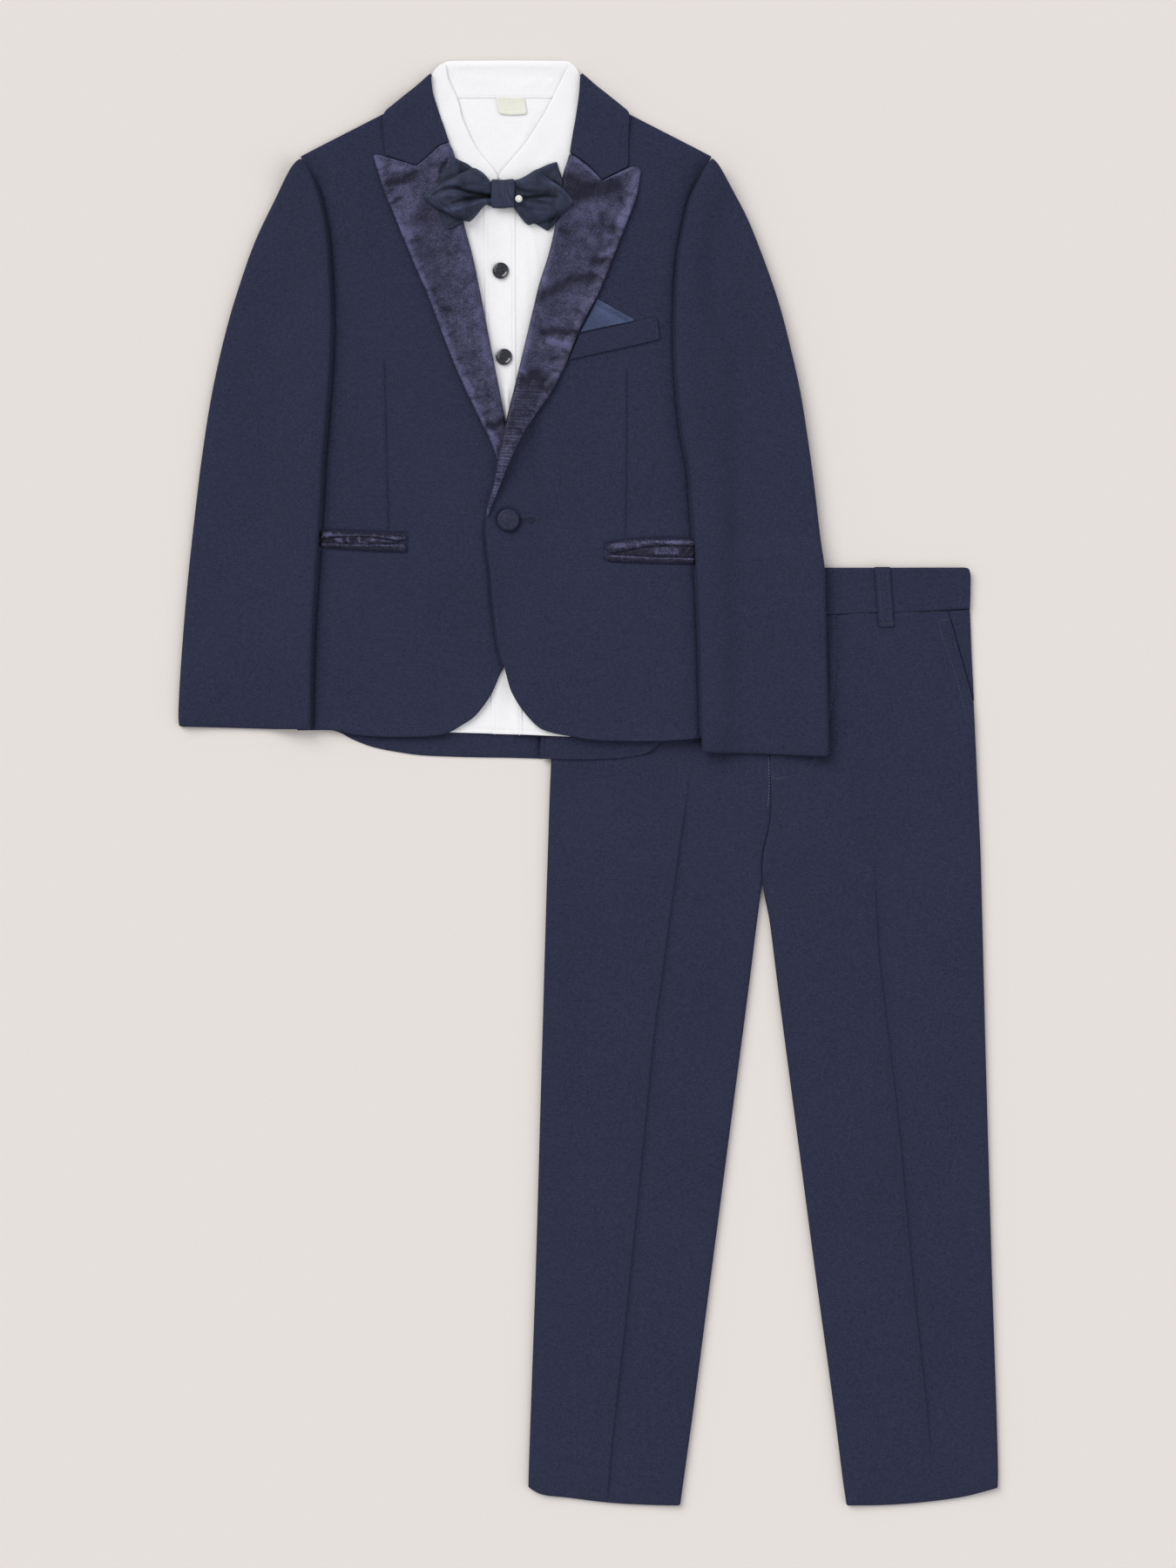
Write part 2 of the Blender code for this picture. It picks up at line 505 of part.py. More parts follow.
def make_bow_tie():
    """A pointed bow: a tail behind and a wing in front on each side of the knot."""
    bow = {"finish": "bow_cloth", "step": 8.0}
    cut_piece("bow_tie_knot",
              (((-70.9, 442.9), (-71.3, 433.0), (-72.4, 423.4)),
               ((-54.9, 422.4), (-54.3, 433.0), (-53.9, 442.9))),
              level=BOW_TAIL, wall=KNOT_WALL, **bow)
    cut_piece("bow_tie_tail_right",
              (((-97.4, 459.4),), ((-109.4, 443.0), (-109.4, 420.0), (-104.0, 408.0), (-97.9, 406.6)),
               ((-75.0, 425.0), (-72.4, 441.5))),
              level=BOW_TAIL, wall=SHIRT_WALL, **bow)
    cut_piece("bow_tie_wing_right",
              (((-71.6, 442.9), (-78.9, 449.4), (-85.4, 451.4)), ((-108.4, 441.4), (-120.9, 431.4)),
               ((-115.4, 426.4),), ((-90.4, 411.9), (-86.4, 412.4), (-74.7, 423.7))),
              level=BOW_WING, wall=WING_WALL, **bow)
    cut_piece("bow_tie_tail_left",
              (((-52.4, 443.5), (-53.4, 423.5)), ((-38.7, 411.0), (-29.4, 405.8)),
               ((-25.9, 408.3), (-20.4, 417.6), (-18.0, 432.0), (-18.4, 447.0), (-22.1, 457.0)),
               ((-34.9, 451.8),)),
              level=BOW_TAIL, wall=SHIRT_WALL, **bow)
    cut_piece("bow_tie_wing_left",
              (((-53.3, 442.9), (-54.2, 422.4)), ((-43.2, 409.6),),
               ((-30.6, 412.8), (-20.2, 418.6), (-10.6, 427.8)),
               ((-17.6, 436.5), (-30.6, 445.4), (-46.4, 446.4))),
              level=BOW_WING, wall=WING_WALL, **bow)
    height = BOW_WING + WING_WALL + GAP + PIN_RADIUS
    bpy.ops.mesh.primitive_uv_sphere_add(segments=12, ring_count=8, radius=PIN_RADIUS * MM)
    pin = bpy.context.object
    mesh = pin.data
    bpy.data.objects.remove(pin)
    mesh.shade_smooth()
    add_node("bow_tie_pin", mesh, "pearl").location = Vector((*PIN_CENTRE, height)) * MM


def turned_piece(node, profile, centre, level, finish, steps):
    """A round piece turned from its half outline, given from the top of its axis to the bottom."""
    mesh = bpy.data.meshes.new(node)
    rings = [(radius * MM, 0.0, height * MM) for radius, height in profile]
    mesh.from_pydata(rings, [(i, i + 1) for i in range(len(rings) - 1)], [])
    piece = add_node(node, mesh, finish)
    piece.location = Vector((*centre, level)) * MM
    turn = piece.modifiers.new("turn", "SCREW")
    turn.steps = steps
    turn.render_steps = steps
    turn.use_merge_vertices = True
    turn.merge_threshold = 0.00001
    return piece


def make_buttons():
    """The covered jacket button, and two shirt buttons with four holes each."""
    covered = ((0.0, 4.2), (3.2, 4.0), (5.8, 3.3), (7.6, 2.2), (BUTTON_RADIUS, 0.9), (7.9, 0.0), (0.0, 0.0))
    turned_piece("jacket_button", covered, BUTTON_CENTRE, JACKET_TRIM + OVERLAP_RISE, "satin", 20)
    rim = SHIRT_BUTTON_RADIUS
    top = SHIRT_BUTTON_HEIGHT
    dish = ((0.0, 1.4), (3.6, 1.4), (4.4, top), (5.4, top), (rim, 1.4), (rim, 0.6), (5.2, 0.0), (0.0, 0.0))
    for name, centre in SHIRT_BUTTON_CENTRES.items():
        button = turned_piece(f"shirt_button_{name}", dish, centre, JACKET_FRONT, "navy_button", 20)
        drill = bmesh.new()
        for x in (-BUTTON_HOLE_OFFSET, BUTTON_HOLE_OFFSET):
            for y in (-BUTTON_HOLE_OFFSET, BUTTON_HOLE_OFFSET):
                hole = BUTTON_HOLE_RADIUS * MM
                made = bmesh.ops.create_cone(drill, cap_ends=True, segments=8, radius1=hole, radius2=hole,
                                             depth=3 * top * MM)
                bmesh.ops.translate(drill, verts=made["verts"], vec=Vector((x, y, 0.0)) * MM)
        mesh = bpy.data.meshes.new(f"shirt_button_{name}_holes")
        drill.to_mesh(mesh)
        drill.free()
        cutter = bpy.data.objects.new(f"shirt_button_{name}_holes", mesh)
        cutter.location = button.location
        cutter.hide_render = True
        cutter.display_type = "WIRE"
        guides.objects.link(cutter)
        holes = button.modifiers.new("holes", "BOOLEAN")
        holes.operation = "DIFFERENCE"
        holes.object = cutter


for old in list(bpy.data.objects):
    bpy.data.objects.remove(old)
pieces = bpy.data.collections.new("tuxedo")
guides = bpy.data.collections.new("tuxedo_guides")
bpy.context.scene.collection.children.link(pieces)
bpy.context.scene.collection.children.link(guides)
make_trousers()
make_jacket_body()
make_sleeves()
make_lapels_and_collar()
make_jacket_pockets()
make_shirt()
make_bow_tie()
make_buttons()
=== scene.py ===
import math

import bpy
import numpy as np
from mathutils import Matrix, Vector
from mathutils.geometry import delaunay_2d_cdt
from mathutils.kdtree import KDTree


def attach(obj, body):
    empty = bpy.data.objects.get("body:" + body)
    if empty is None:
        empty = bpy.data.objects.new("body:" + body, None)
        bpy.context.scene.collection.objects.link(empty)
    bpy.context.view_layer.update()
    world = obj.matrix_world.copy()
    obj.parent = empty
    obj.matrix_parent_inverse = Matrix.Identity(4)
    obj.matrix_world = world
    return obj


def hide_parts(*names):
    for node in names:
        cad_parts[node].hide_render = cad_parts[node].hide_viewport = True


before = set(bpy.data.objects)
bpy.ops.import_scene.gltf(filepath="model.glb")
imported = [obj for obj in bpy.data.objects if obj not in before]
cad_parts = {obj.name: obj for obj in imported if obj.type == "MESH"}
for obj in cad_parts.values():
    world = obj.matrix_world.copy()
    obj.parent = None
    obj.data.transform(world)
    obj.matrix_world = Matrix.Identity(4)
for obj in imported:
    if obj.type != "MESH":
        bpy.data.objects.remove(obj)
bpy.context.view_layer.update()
bpy.ops.object.select_all(action="DESELECT")
print("frame loaded:", len(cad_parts), "nodes")

mm = 0.001  # every table here is in millimetres

# camera, floor and light

camera = {
    "lens": 100.0,
    "sensor": 36.0,
    "aim": (0.32, -0.64, 6.0),
    "distance": 3200.0,  # with this lens the frame is 864 by 1152 mm at the aim
    "sight": 20.0,  # metres
}
floor = {"size": 9.0, "height": -0.2, "colour": (0.804, 0.761, 0.732), "roughness": 0.9, "specular": 0.1}
lamps = (
    # name, where it shines from, strength, angle that it fills, colour
    ("keyLight", (-0.8, 0.85, 1.0), 1.75, 42.0, (1.0, 0.99, 0.975)),
    ("fillLight", (1.1, -0.35, 1.0), 0.8, 60.0, (0.97, 0.98, 1.0)),
)
skyLight = 0.46
white = (1.0, 1.0, 1.0)


def setInputs(node, inputs):
    # a socket is joined to the input, and anything else is the input's value
    for key, value in inputs.items():
        socket = node.inputs[key]
        if hasattr(value, "is_output"):
            node.id_data.links.new(value, socket)
        else:
            socket.default_value = (*value, 1.0) if socket.type == "RGBA" else value


def newMaterial(name, inputs):
    made = bpy.data.materials.new(name)
    made.use_nodes = True
    shader = made.node_tree.nodes["Principled BSDF"]
    setInputs(shader, inputs)
    return made, shader


def makeCamera():
    lens = bpy.data.cameras.new("layoutCamera")
    lens.lens = camera["lens"]
    lens.sensor_width = camera["sensor"]
    lens.clip_end = camera["sight"]
    holder = bpy.data.objects.new("layoutCamera", lens)
    x, y, z = camera["aim"]
    holder.location = Vector((x, y, z + camera["distance"])) * mm
    bpy.context.collection.objects.link(holder)
    bpy.context.scene.camera = holder


def makeFloor():
    bpy.ops.mesh.primitive_plane_add(size=floor["size"], location=(0.0, 0.0, floor["height"] * mm))
    sheet = bpy.context.object
    sheet.name = "paleFloor"
    sheet.data.materials.append(newMaterial("paleFloor", {
        "Base Color": floor["colour"], "Roughness": floor["roughness"],
        "Specular IOR Level": floor["specular"]})[0])


def makeLights():
    for name, place, strength, angle, colour in lamps:
        light = bpy.data.lights.new(name, "SUN")
        light.angle = math.radians(angle)
        light.energy = strength
        light.color = colour
        holder = bpy.data.objects.new(name, light)
        holder.location = place
        holder.rotation_euler = (-Vector(place)).to_track_quat("-Z", "Y").to_euler()
        bpy.context.collection.objects.link(holder)
    world = bpy.data.worlds.new("studio")
    world.use_nodes = True
    setInputs(world.node_tree.nodes["Background"], {"Color": white, "Strength": skyLight})
    bpy.context.scene.world = world


makeCamera()
makeFloor()
makeLights()
bpy.context.scene.view_settings.view_transform = "Standard"

# cloths and other finishes


def clothMaterial(name, roughness, sheen, specular, sheenTint=white):
    return newMaterial(name, {
        "Roughness": roughness, "Specular IOR Level": specular, "Sheen Weight": sheen,
        "Sheen Roughness": 0.5, "Sheen Tint": sheenTint})


def addNode(cloth, kind, output, inputs, **values):
    # gives the new node's output
    node = cloth.node_tree.nodes.new("ShaderNode" + kind)
    for key, value in values.items():
        setattr(node, key, value)
    setInputs(node, inputs)
    return node.outputs[output]


def clothPlace(cloth, turn, stretch=(1, 1, 1)):
    # the cloth's own place in metres, turned to its grain and stretched
    place = addNode(cloth, "TexCoord", "Object", {})
    grain = (0, 0, math.radians(turn))
    turned = addNode(cloth, "Mapping", "Vector", {"Vector": place, "Rotation": grain})
    return addNode(cloth, "Mapping", "Vector", {"Vector": turned, "Scale": stretch})


def mottle(cloth, turn, size, detail, stretch=(1, 1, 1), low=0.35, high=0.65):
    # soft noise whose patches are about size millimetres wide, from 0 to 1
    noise = addNode(cloth, "TexNoise", "Fac", {
        "Vector": clothPlace(cloth, turn, stretch), "Scale": 1 / (size * mm), "Detail": detail})
    return addNode(cloth, "MapRange", "Result", {"Value": noise, "From Min": low, "From Max": high})


def blendColours(cloth, share, dark, light):
    return addNode(cloth, "Mix", 2, {"Factor": share, 6: dark, 7: light}, data_type="RGBA")


def addUp(cloth, parts):
    # weighted sum of several patterns
    total = None
    for value, weight in parts:
        scaled = addNode(cloth, "Math", 0, {0: value, 1: weight}, operation="MULTIPLY")
        if total is None:
            total = scaled
        else:
            total = addNode(cloth, "Math", 0, {0: total, 1: scaled}, operation="ADD")
    return total


def shineOf(cloth):
    # the share of painted highlight (high) and painted shade (low) that is painted on a piece's places
    return addNode(cloth, "Attribute", "Fac", {}, attribute_name="shine")


def finishCloth(cloth, shader, colour, relief, depth):
    # depth is the relief's height in millimetres
    normal = addNode(cloth, "Bump", "Normal", {"Strength": 1, "Distance": depth * mm, "Height": relief})
    setInputs(shader, {"Base Color": colour, "Normal": normal})
    return cloth


suiting = {
    "dark": (0.016, 0.0176, 0.041),
    "light": (0.0372, 0.0406, 0.0795),
    "warp": 0.5,  # thread spacing
    "weft": 0.56,
    "fleck": 1.8,  # width of a fleck in threads
    "rib": 0.16,  # the twill's ribs for each thread
}


def makeSuiting(turn):
    cloth, shader = clothMaterial(
        f"navySuiting{turn:+d}", roughness=0.85, sheen=0.04, specular=0.1, sheenTint=(0.45, 0.45, 0.62))
    along = mottle(cloth, turn, suiting["warp"] * suiting["fleck"], 2, (1, 0.3, 1))
    across = mottle(cloth, turn, suiting["weft"] * suiting["fleck"], 2, (0.3, 1, 1))
    speck = mottle(cloth, turn, 0.9, 1, low=0.32, high=0.68)
    drift = mottle(cloth, turn, 90, 1)
    twill = addNode(
        cloth, "TexWave", "Fac",
        {"Vector": clothPlace(cloth, turn), "Scale": suiting["rib"] / (suiting["warp"] * mm),
         "Distortion": 0.6},
        wave_type="BANDS", bands_direction="DIAGONAL")
    tone = addUp(cloth, ((along, 0.25), (across, 0.27), (speck, 0.42), (drift, 0.06)))
    relief = addUp(cloth, ((twill, 0.45), (along, 0.25), (across, 0.3)))
    colour = blendColours(cloth, tone, suiting["dark"], suiting["light"])
    return finishCloth(cloth, shader, colour, relief, depth=0.1)


# satin's own tone is the middle colour; the dark end is painted shade and the light end painted purple-blue
# sheen
satin = {
    "dark": (0.0085, 0.009, 0.019),
    "middle": (0.0375, 0.0385, 0.072),
    "light": (0.1, 0.098, 0.195),
    "tint": (0.7, 0.66, 0.95),
    "even": 0.98,  # the patterns' sum that gives the middle colour
}


def makeSatin(name, turn, spread, patch=14):
    # patch is the width of its clouds of painted sheen and painted shade, and a wider spread gives less
    # contrast between them
    cloth, shader = clothMaterial(
        name, roughness=0.42, sheen=0.05, specular=0.3, sheenTint=(0.55, 0.5, 0.9))
    setInputs(shader, {"Specular Tint": satin["tint"]})
    clouds = mottle(cloth, turn, patch, 1, (1, 0.6, 1), 0.36, 0.64)
    blotches = mottle(cloth, turn, patch * 0.34, 1, (1, 0.7, 1), 0.34, 0.66)
    grain = mottle(cloth, turn, 0.9, 2, low=0.34, high=0.66)
    ribs = mottle(cloth, turn, 1, 2, (0.12, 1, 1))
    # random clouds of painted sheen and painted shade, the fine grain and ribs, and the piece's painted
    # light, summed into one share
    total = addUp(cloth, (
        (clouds, 0.16), (blotches, 0.2), (grain, 0.48), (ribs, 0.12), (shineOf(cloth), 1)))
    share = addNode(cloth, "MapRange", "Result", {
        "Value": total, "From Min": satin["even"] - spread, "From Max": satin["even"] + spread})
    colour = addNode(cloth, "ValToRGB", "Color", {"Fac": share})
    stops = colour.node.color_ramp.elements
    stops[0].color = (*satin["dark"], 1)
    stops[1].color = (*satin["light"], 1)
    stops.new(0.5).color = (*satin["middle"], 1)
    relief = addUp(cloth, ((grain, 0.25), (ribs, 0.2), (clouds, 3), (blotches, 1.6)))
    return finishCloth(cloth, shader, colour, relief, depth=0.16)


def makeDottedCloth(name, turn, ground, dot, spacing=1.25):
    # small light dots in staggered rows, with painted shade where the piece's painted light is low
    cloth, shader = clothMaterial(
        name, roughness=0.6, sheen=0.06, specular=0.18, sheenTint=(0.5, 0.6, 0.8))
    rows = addNode(
        cloth, "TexVoronoi", "Distance",
        {"Vector": clothPlace(cloth, turn + 45), "Scale": 1 / (spacing * mm), "Randomness": 0.06},
        feature="F1")
    dots = addNode(cloth, "MapRange", "Result", {"Value": rows, "From Min": 0.5, "From Max": 0.2})
    grain = mottle(cloth, turn, 0.8, 2)
    wear = mottle(cloth, turn, 12, 2)
    share = addUp(cloth, ((dots, 0.55), (grain, 0.18), (wear, 0.27)))
    shine = shineOf(cloth)
    # painted shade: the ground darkened to a sixth, blended in where the painted light is low
    paintedShade = tuple(value * 0.16 for value in ground)
    colour = blendColours(cloth, share, blendColours(cloth, shine, paintedShade, ground),
                          blendColours(cloth, shine, paintedShade, dot))
    return finishCloth(cloth, shader, colour, addUp(cloth, ((dots, 0.7), (grain, 0.3))), depth=0.12)


def makePoplin(name, dark, light, thread=0.35):
    # fine plain weave
    cloth, shader = clothMaterial(name, roughness=0.82, sheen=0.15, specular=0.2)
    along = mottle(cloth, 0, thread * 2, 2, (1, 0.12, 1))
    across = mottle(cloth, 0, thread * 2, 2, (0.12, 1, 1))
    drift = mottle(cloth, 0, 30, 2)
    tone = addUp(cloth, ((along, 0.35), (across, 0.35), (drift, 0.3)))
    relief = addUp(cloth, ((along, 0.5), (across, 0.5)))
    return finishCloth(cloth, shader, blendColours(cloth, tone, dark, light), relief, depth=0.05)


def makeButtonCloth(name, turn, dark, light):
    # a fine ribbed cloth drawn tight over a mould
    cloth, shader = clothMaterial(
        name, roughness=0.5, sheen=0.05, specular=0.3, sheenTint=(0.5, 0.55, 0.8))
    ribs = mottle(cloth, turn, 0.7, 2, (0.15, 1, 1))
    grain = mottle(cloth, turn, 0.9, 2)
    tone = addUp(cloth, ((ribs, 0.4), (grain, 0.6)))
    return finishCloth(cloth, shader, blendColours(cloth, tone, dark, light), ribs, depth=0.08)


def makeThread(name, dark, light):
    cloth, shader = clothMaterial(name, roughness=0.6, sheen=0.1, specular=0.3)
    twist = mottle(cloth, 0, 0.5, 2)
    return finishCloth(cloth, shader, blendColours(cloth, twist, dark, light), twist, depth=0.03)


def makeResin(name, dark, light, roughness, specular):
    resin, shader = clothMaterial(name, roughness, 0, specular)
    swirl = mottle(resin, 0, 2.6, 3)
    return finishCloth(resin, shader, blendColours(resin, swirl, dark, light), swirl, depth=0.01)


finishes = {
    "body": makeSuiting(0),
    "sleeveRight": makeSuiting(-6),
    "sleeveLeft": makeSuiting(5),
    "legRight": makeSuiting(-4),
    "legLeft": makeSuiting(3),
    "collarRight": makeSuiting(38),
    "collarLeft": makeSuiting(-38),
    "lapelRight": makeSatin("lapelSatinRight", -20, 0.46),
    "lapelLeft": makeSatin("lapelSatinLeft", 22, 0.5),
    "pocketSatin": makeSatin("pocketSatin", 88, 0.34, patch=6),
    "buttonSatin": makeButtonCloth(
        "buttonSatin", 30, (0.0075, 0.0092, 0.027), (0.0255, 0.0295, 0.068)),
    # the wings' and tails' cloth is a darker copy of the knot's cloth, darkened as painted shade for the
    # wings' folds
    "bow": makeDottedCloth("bowTieCloth", 12, (0.0225, 0.0275, 0.0545), (0.098, 0.124, 0.23)),
    "knot": makeDottedCloth("bowKnotCloth", 3, (0.03, 0.0355, 0.072), (0.123, 0.15, 0.275)),
    "square": makeDottedCloth(
        "squareCloth", -14, (0.037, 0.051, 0.122), (0.19, 0.256, 0.48), spacing=1.4),
    "cotton": makePoplin("shirtPoplin", (0.9, 0.9, 0.925), (0.955, 0.955, 0.975)),
    "label": makePoplin("labelTape", (0.8, 0.79, 0.7), (0.9, 0.89, 0.81), thread=0.6),
    "navyThread": makeThread("navyThread", (0.03, 0.032, 0.06), (0.095, 0.1, 0.15)),
    "flyThread": makeThread("flyThread", (0.08, 0.08, 0.12), (0.24, 0.24, 0.31)),
    "holeThread": makeThread("holeThread", (0.0045, 0.005, 0.0085), (0.012, 0.013, 0.024)),
    "whiteThread": makeThread("whiteThread", (0.78, 0.78, 0.82), (0.92, 0.92, 0.95)),
    "resin": makeResin(
        "navyResin", (0.0025, 0.003, 0.008), (0.009, 0.012, 0.026), roughness=0.08, specular=1),
    "pearl": makeResin("pinPearl", (0.8, 0.8, 0.8), (0.92, 0.92, 0.92), roughness=0.25, specular=0.5),
}
print("finishes made:", len(finishes))

# the pile: how high the cloth lies so far

pile = {"cell": 1.0, "left": -330.0, "low": -560.0, "across": 661, "up": 1121}
cellX = pile["left"] + pile["cell"] * np.arange(pile["across"])
cellY = pile["low"] + pile["cell"] * np.arange(pile["up"])
heights = np.zeros((pile["up"], pile["across"]))
spans = {
    "touch": 0.05,  # places of an outline that lie closer are one
    "line": 1.5,  # spacing of the places along a fold, seam or roll
    "fold": 2.6,  # a fold's reach to each side, in widths
    # reach of a line of painted highlight or painted shade, in its widths
    "tone": 2.4,
}


def lengthOf(steps):
    return np.hypot(steps[..., 0], steps[..., 1])


def unit(ways):
    return ways / np.maximum(lengthOf(ways), 1e-9)[..., None]


def sideways(ways):
    # each direction turned a quarter to its left
    return np.stack([-ways[..., 1], ways[..., 0]], axis=-1)


def turnBy(angle):
    return np.array([[math.cos(angle), -math.sin(angle)], [math.sin(angle), math.cos(angle)]])


def rounded(share):
    # a quarter circle's rise from 0 to 1
    share = np.clip(share, 0.0, 1.0)
    return np.sqrt(share * (2 - share))


def bell(far, wide):
    return np.exp(-(far / wide) ** 2)


def smoothLine(points, steps=8):
    # dense points on a smooth line that passes through the given ones, without bulging at close ones
    p = np.array(points, float)
    if len(p) < 3:
        return p
    p = np.vstack([2 * p[0] - p[1], p, 2 * p[-1] - p[-2]])
    gaps = np.sqrt(lengthOf(np.diff(p, axis=0)))
    line = []
    for number in range(1, len(p) - 2):
        a, b, c, d = p[number - 1:number + 3]
        before, here, after = gaps[number - 1:number + 2]
        leave = here * ((b - a) / before - (c - a) / (before + here)) + c - b
        reach = here * ((d - c) / after - (d - b) / (here + after)) + c - b
        for t in np.arange(steps) / steps:
            line.append(b * (2 * t ** 3 - 3 * t ** 2 + 1) + leave * (t ** 3 - 2 * t ** 2 + t)
                        + c * (3 * t ** 2 - 2 * t ** 3) + reach * (t ** 3 - t ** 2))
    return np.array(line + [p[-2]])


def runOf(sizes):
    # how far along a line each of its places is
    return np.concatenate([[0.0], np.cumsum(sizes)])


def alongLine(points, spacing):
    # evenly spaced places on the smooth line, and the direction at each
    line = smoothLine(points)
    run = runOf(lengthOf(np.diff(line, axis=0)))
    at = np.linspace(0.0, run[-1], max(int(round(run[-1] / spacing)), 1) + 1)
    places = np.column_stack([np.interp(at, run, line[:, 0]), np.interp(at, run, line[:, 1])])
    return places, unit(np.gradient(places, axis=0))


def shifted(line, across, up=0):
    return tuple((x + across, y + up) for x, y in line)


def cutOutline(edges, spacing):
    # smooth edges that follow each other, with straight cuts between their ends
    closed = []
    for edge in edges:
        for place in np.array(edge, float) if len(edge) == 1 else alongLine(edge, spacing)[0]:
            if closed:
                gap = lengthOf(place - closed[-1])
                if gap < spans["touch"]:
                    continue
                count = int(gap / spacing)
                for step in range(1, count):
                    closed.append(closed[-1] + (place - closed[-1]) / (count - step + 1))
            closed.append(place)
    last, first = closed[-1], closed[0]
    gap = lengthOf(first - last)
    if gap < spans["touch"]:
        closed.pop()
    count = int(gap / spacing)
    for step in range(1, count):
        closed.append(last + (first - last) * step / count)
    return np.array(closed)


def fromLine(points, line):
    # each point's distance to a line of close places, and how far along it is, 0 to 1
    tree = KDTree(len(line))
    for number, (x, y) in enumerate(line):
        tree.insert((x, y, 0.0), number)
    tree.balance()
    nearest = np.array([tree.find((x, y, 0.0))[1] for x, y in points], int)
    steps = np.diff(line, axis=0)
    sizes = np.maximum(lengthOf(steps), 1e-9)
    run = runOf(sizes)
    looped = lengthOf(line[0] - line[-1]) < 1e-6
    best = np.full(len(points), 1e9)
    share = np.zeros(len(points))
    for shift in (-1, 0):
        first = (nearest + shift) % len(steps) if looped else np.clip(nearest + shift, 0, len(steps) - 1)
        away, step, size = points - line[first], steps[first], sizes[first]
        t = np.clip(np.sum(away * step, axis=1) / size ** 2, 0.0, 1.0)
        far = lengthOf(away - t[:, None] * step)
        share = np.where(far < best, (run[first] + t * size) / run[-1], share)
        best = np.minimum(far, best)
    return best, share


def nearLine(points, line, reach):
    # which points may lie within reach of a line, their distance to it and how far along they are
    box = (points > line.min(0) - reach) & (points < line.max(0) + reach)
    near = np.nonzero(box.all(axis=1))[0]
    far, share = fromLine(points[near], line) if len(near) else (np.zeros(0), np.zeros(0))
    return near, far, share


def cellsOf(values, margin, start, count):
    # the first cell and the end of the cells over which some values spread
    ends = ((values.min() - margin, 0), (values.max() + margin, 2))
    return [min(max(int((edge - start) / pile["cell"]) + extra, 0), count) for edge, extra in ends]


def coverOf(outline, margin):
    # the window of cells round an outline, and which of them lie inside it
    column = cellsOf(outline[:, 0], margin, pile["left"], pile["across"])
    row = cellsOf(outline[:, 1], margin, pile["low"], pile["up"])
    window = (slice(*row), slice(*column))
    ys = cellY[window[0]]
    flips = np.zeros((row[1] - row[0], column[1] - column[0] + 1), int)
    for (xa, ya), (xb, yb) in zip(outline, np.roll(outline, -1, axis=0)):
        rows = np.nonzero((ys >= min(ya, yb)) & (ys < max(ya, yb)))[0]
        if len(rows):
            x = xa + (ys[rows] - ya) * (xb - xa) / (yb - ya)
            first = np.ceil((x - cellX[column[0]]) / pile["cell"]).astype(int)
            np.add.at(flips, (rows, np.clip(first, 0, column[1] - column[0])), 1)
    return window, np.cumsum(flips, axis=1)[:, :-1] % 2 == 1


def highestNear(field, reach):
    for axis in (0, 1):
        field = np.maximum.reduce([np.roll(field, step, axis) for step in range(-reach, reach + 1)])
    return field


def softened(field, reach):
    for axis in (0, 1):
        total = field.copy()
        for step in range(1, reach + 1):
            total = total + np.roll(field, step, axis) + np.roll(field, -step, axis)
        field = total / (2 * reach + 1)
    return field


def readField(field, window, points):
    # a field of cells read between its cells
    u = (points[:, 0] - cellX[window[1].start]) / pile["cell"]
    v = (points[:, 1] - cellY[window[0].start]) / pile["cell"]
    i = np.clip(u.astype(int), 0, field.shape[1] - 2)
    j = np.clip(v.astype(int), 0, field.shape[0] - 2)
    u, v = np.clip(u - i, 0.0, 1.0), np.clip(v - j, 0.0, 1.0)
    lower = field[j, i] * (1 - u) + field[j, i + 1] * u
    upper = field[j + 1, i] * (1 - u) + field[j + 1, i + 1] * u
    return lower * (1 - v) + upper * v


def pileAt(points):
    everywhere = (slice(0, pile["up"]), slice(0, pile["across"]))
    return readField(heights, everywhere, np.asarray(points, float))


# cutting and laying one sheet of cloth

plainCut = {
    "thick": 1.2,
    "grid": 3.0,  # spacing of its places; its underside's is "under", or twice as much
    "rim": 1.8,  # spacing along its outline
    "reach": 3,  # cells over which it bridges a step in the pile
    "gap": 0.15,  # air under all of it
    "air": 0.0,  # more air, which its hollows may use up
    "round": 0.9,  # radius of its turned edge
    "folds": (),  # line, width, height, eased ends
    "seams": (),  # line, width, depth, eased ends
    "rolls": (),  # line, height, radius, fade
    "puff": (0.0, 1.0),  # rise inside the outline, and over what distance
    "crown": None,
    # the piece's even share of painted light, read by its material; its lines of painted highlight and
    # painted shade add to it
    "shine": 0.5,
}
easing = {"folds": (0.3, 0.3), "seams": (0, 0), "rolls": None}  # where a row gives none
edgeRows = (0.12, 0.45, 1.0, 1.9, 3.0)  # rows of places inside the outline, in radii of its turned edge
seamRows = (-1.5, -0.7, 0.0, 0.7, 1.5)  # rows beside a seam, in its widths


def easedEnds(share, ends):
    # 1 along a fold, falling to 0 at its ends over the given shares of its length
    rise = np.ones_like(share)
    for away, end in ((share, ends[0]), (1.0 - share, ends[1])):
        if end > 0:
            rise = rise * np.clip(away / end, 0.0, 1.0)
    return rise * rise * (3 - 2 * rise)


def addBells(values, points, lines):
    # a ridge along each line, as wide and as high as its row says
    for line, wide, high, ends in lines:
        near, far, share = nearLine(points, line, spans["fold"] * wide)
        values[near] += high * bell(far, wide) * easedEnds(share, ends)


def withinOutline(points, outline):
    # counts the edges to the right of each point
    x, y = points[:, 0:1], points[:, 1:2]
    xa, ya = outline[:, 0], outline[:, 1]
    xb, yb = np.roll(xa, -1), np.roll(ya, -1)
    crosses = (y >= np.minimum(ya, yb)) & (y < np.maximum(ya, yb))
    slope = (xb - xa) / np.where(yb == ya, 1.0, yb - ya)
    return (crosses & (xa + (y - ya) * slope > x)).sum(axis=1) % 2 == 1


def signedArea(outline):
    x, y = outline[:, 0], outline[:, 1]
    return 0.5 * np.sum(x * np.roll(y, -1) - np.roll(x, -1) * y)


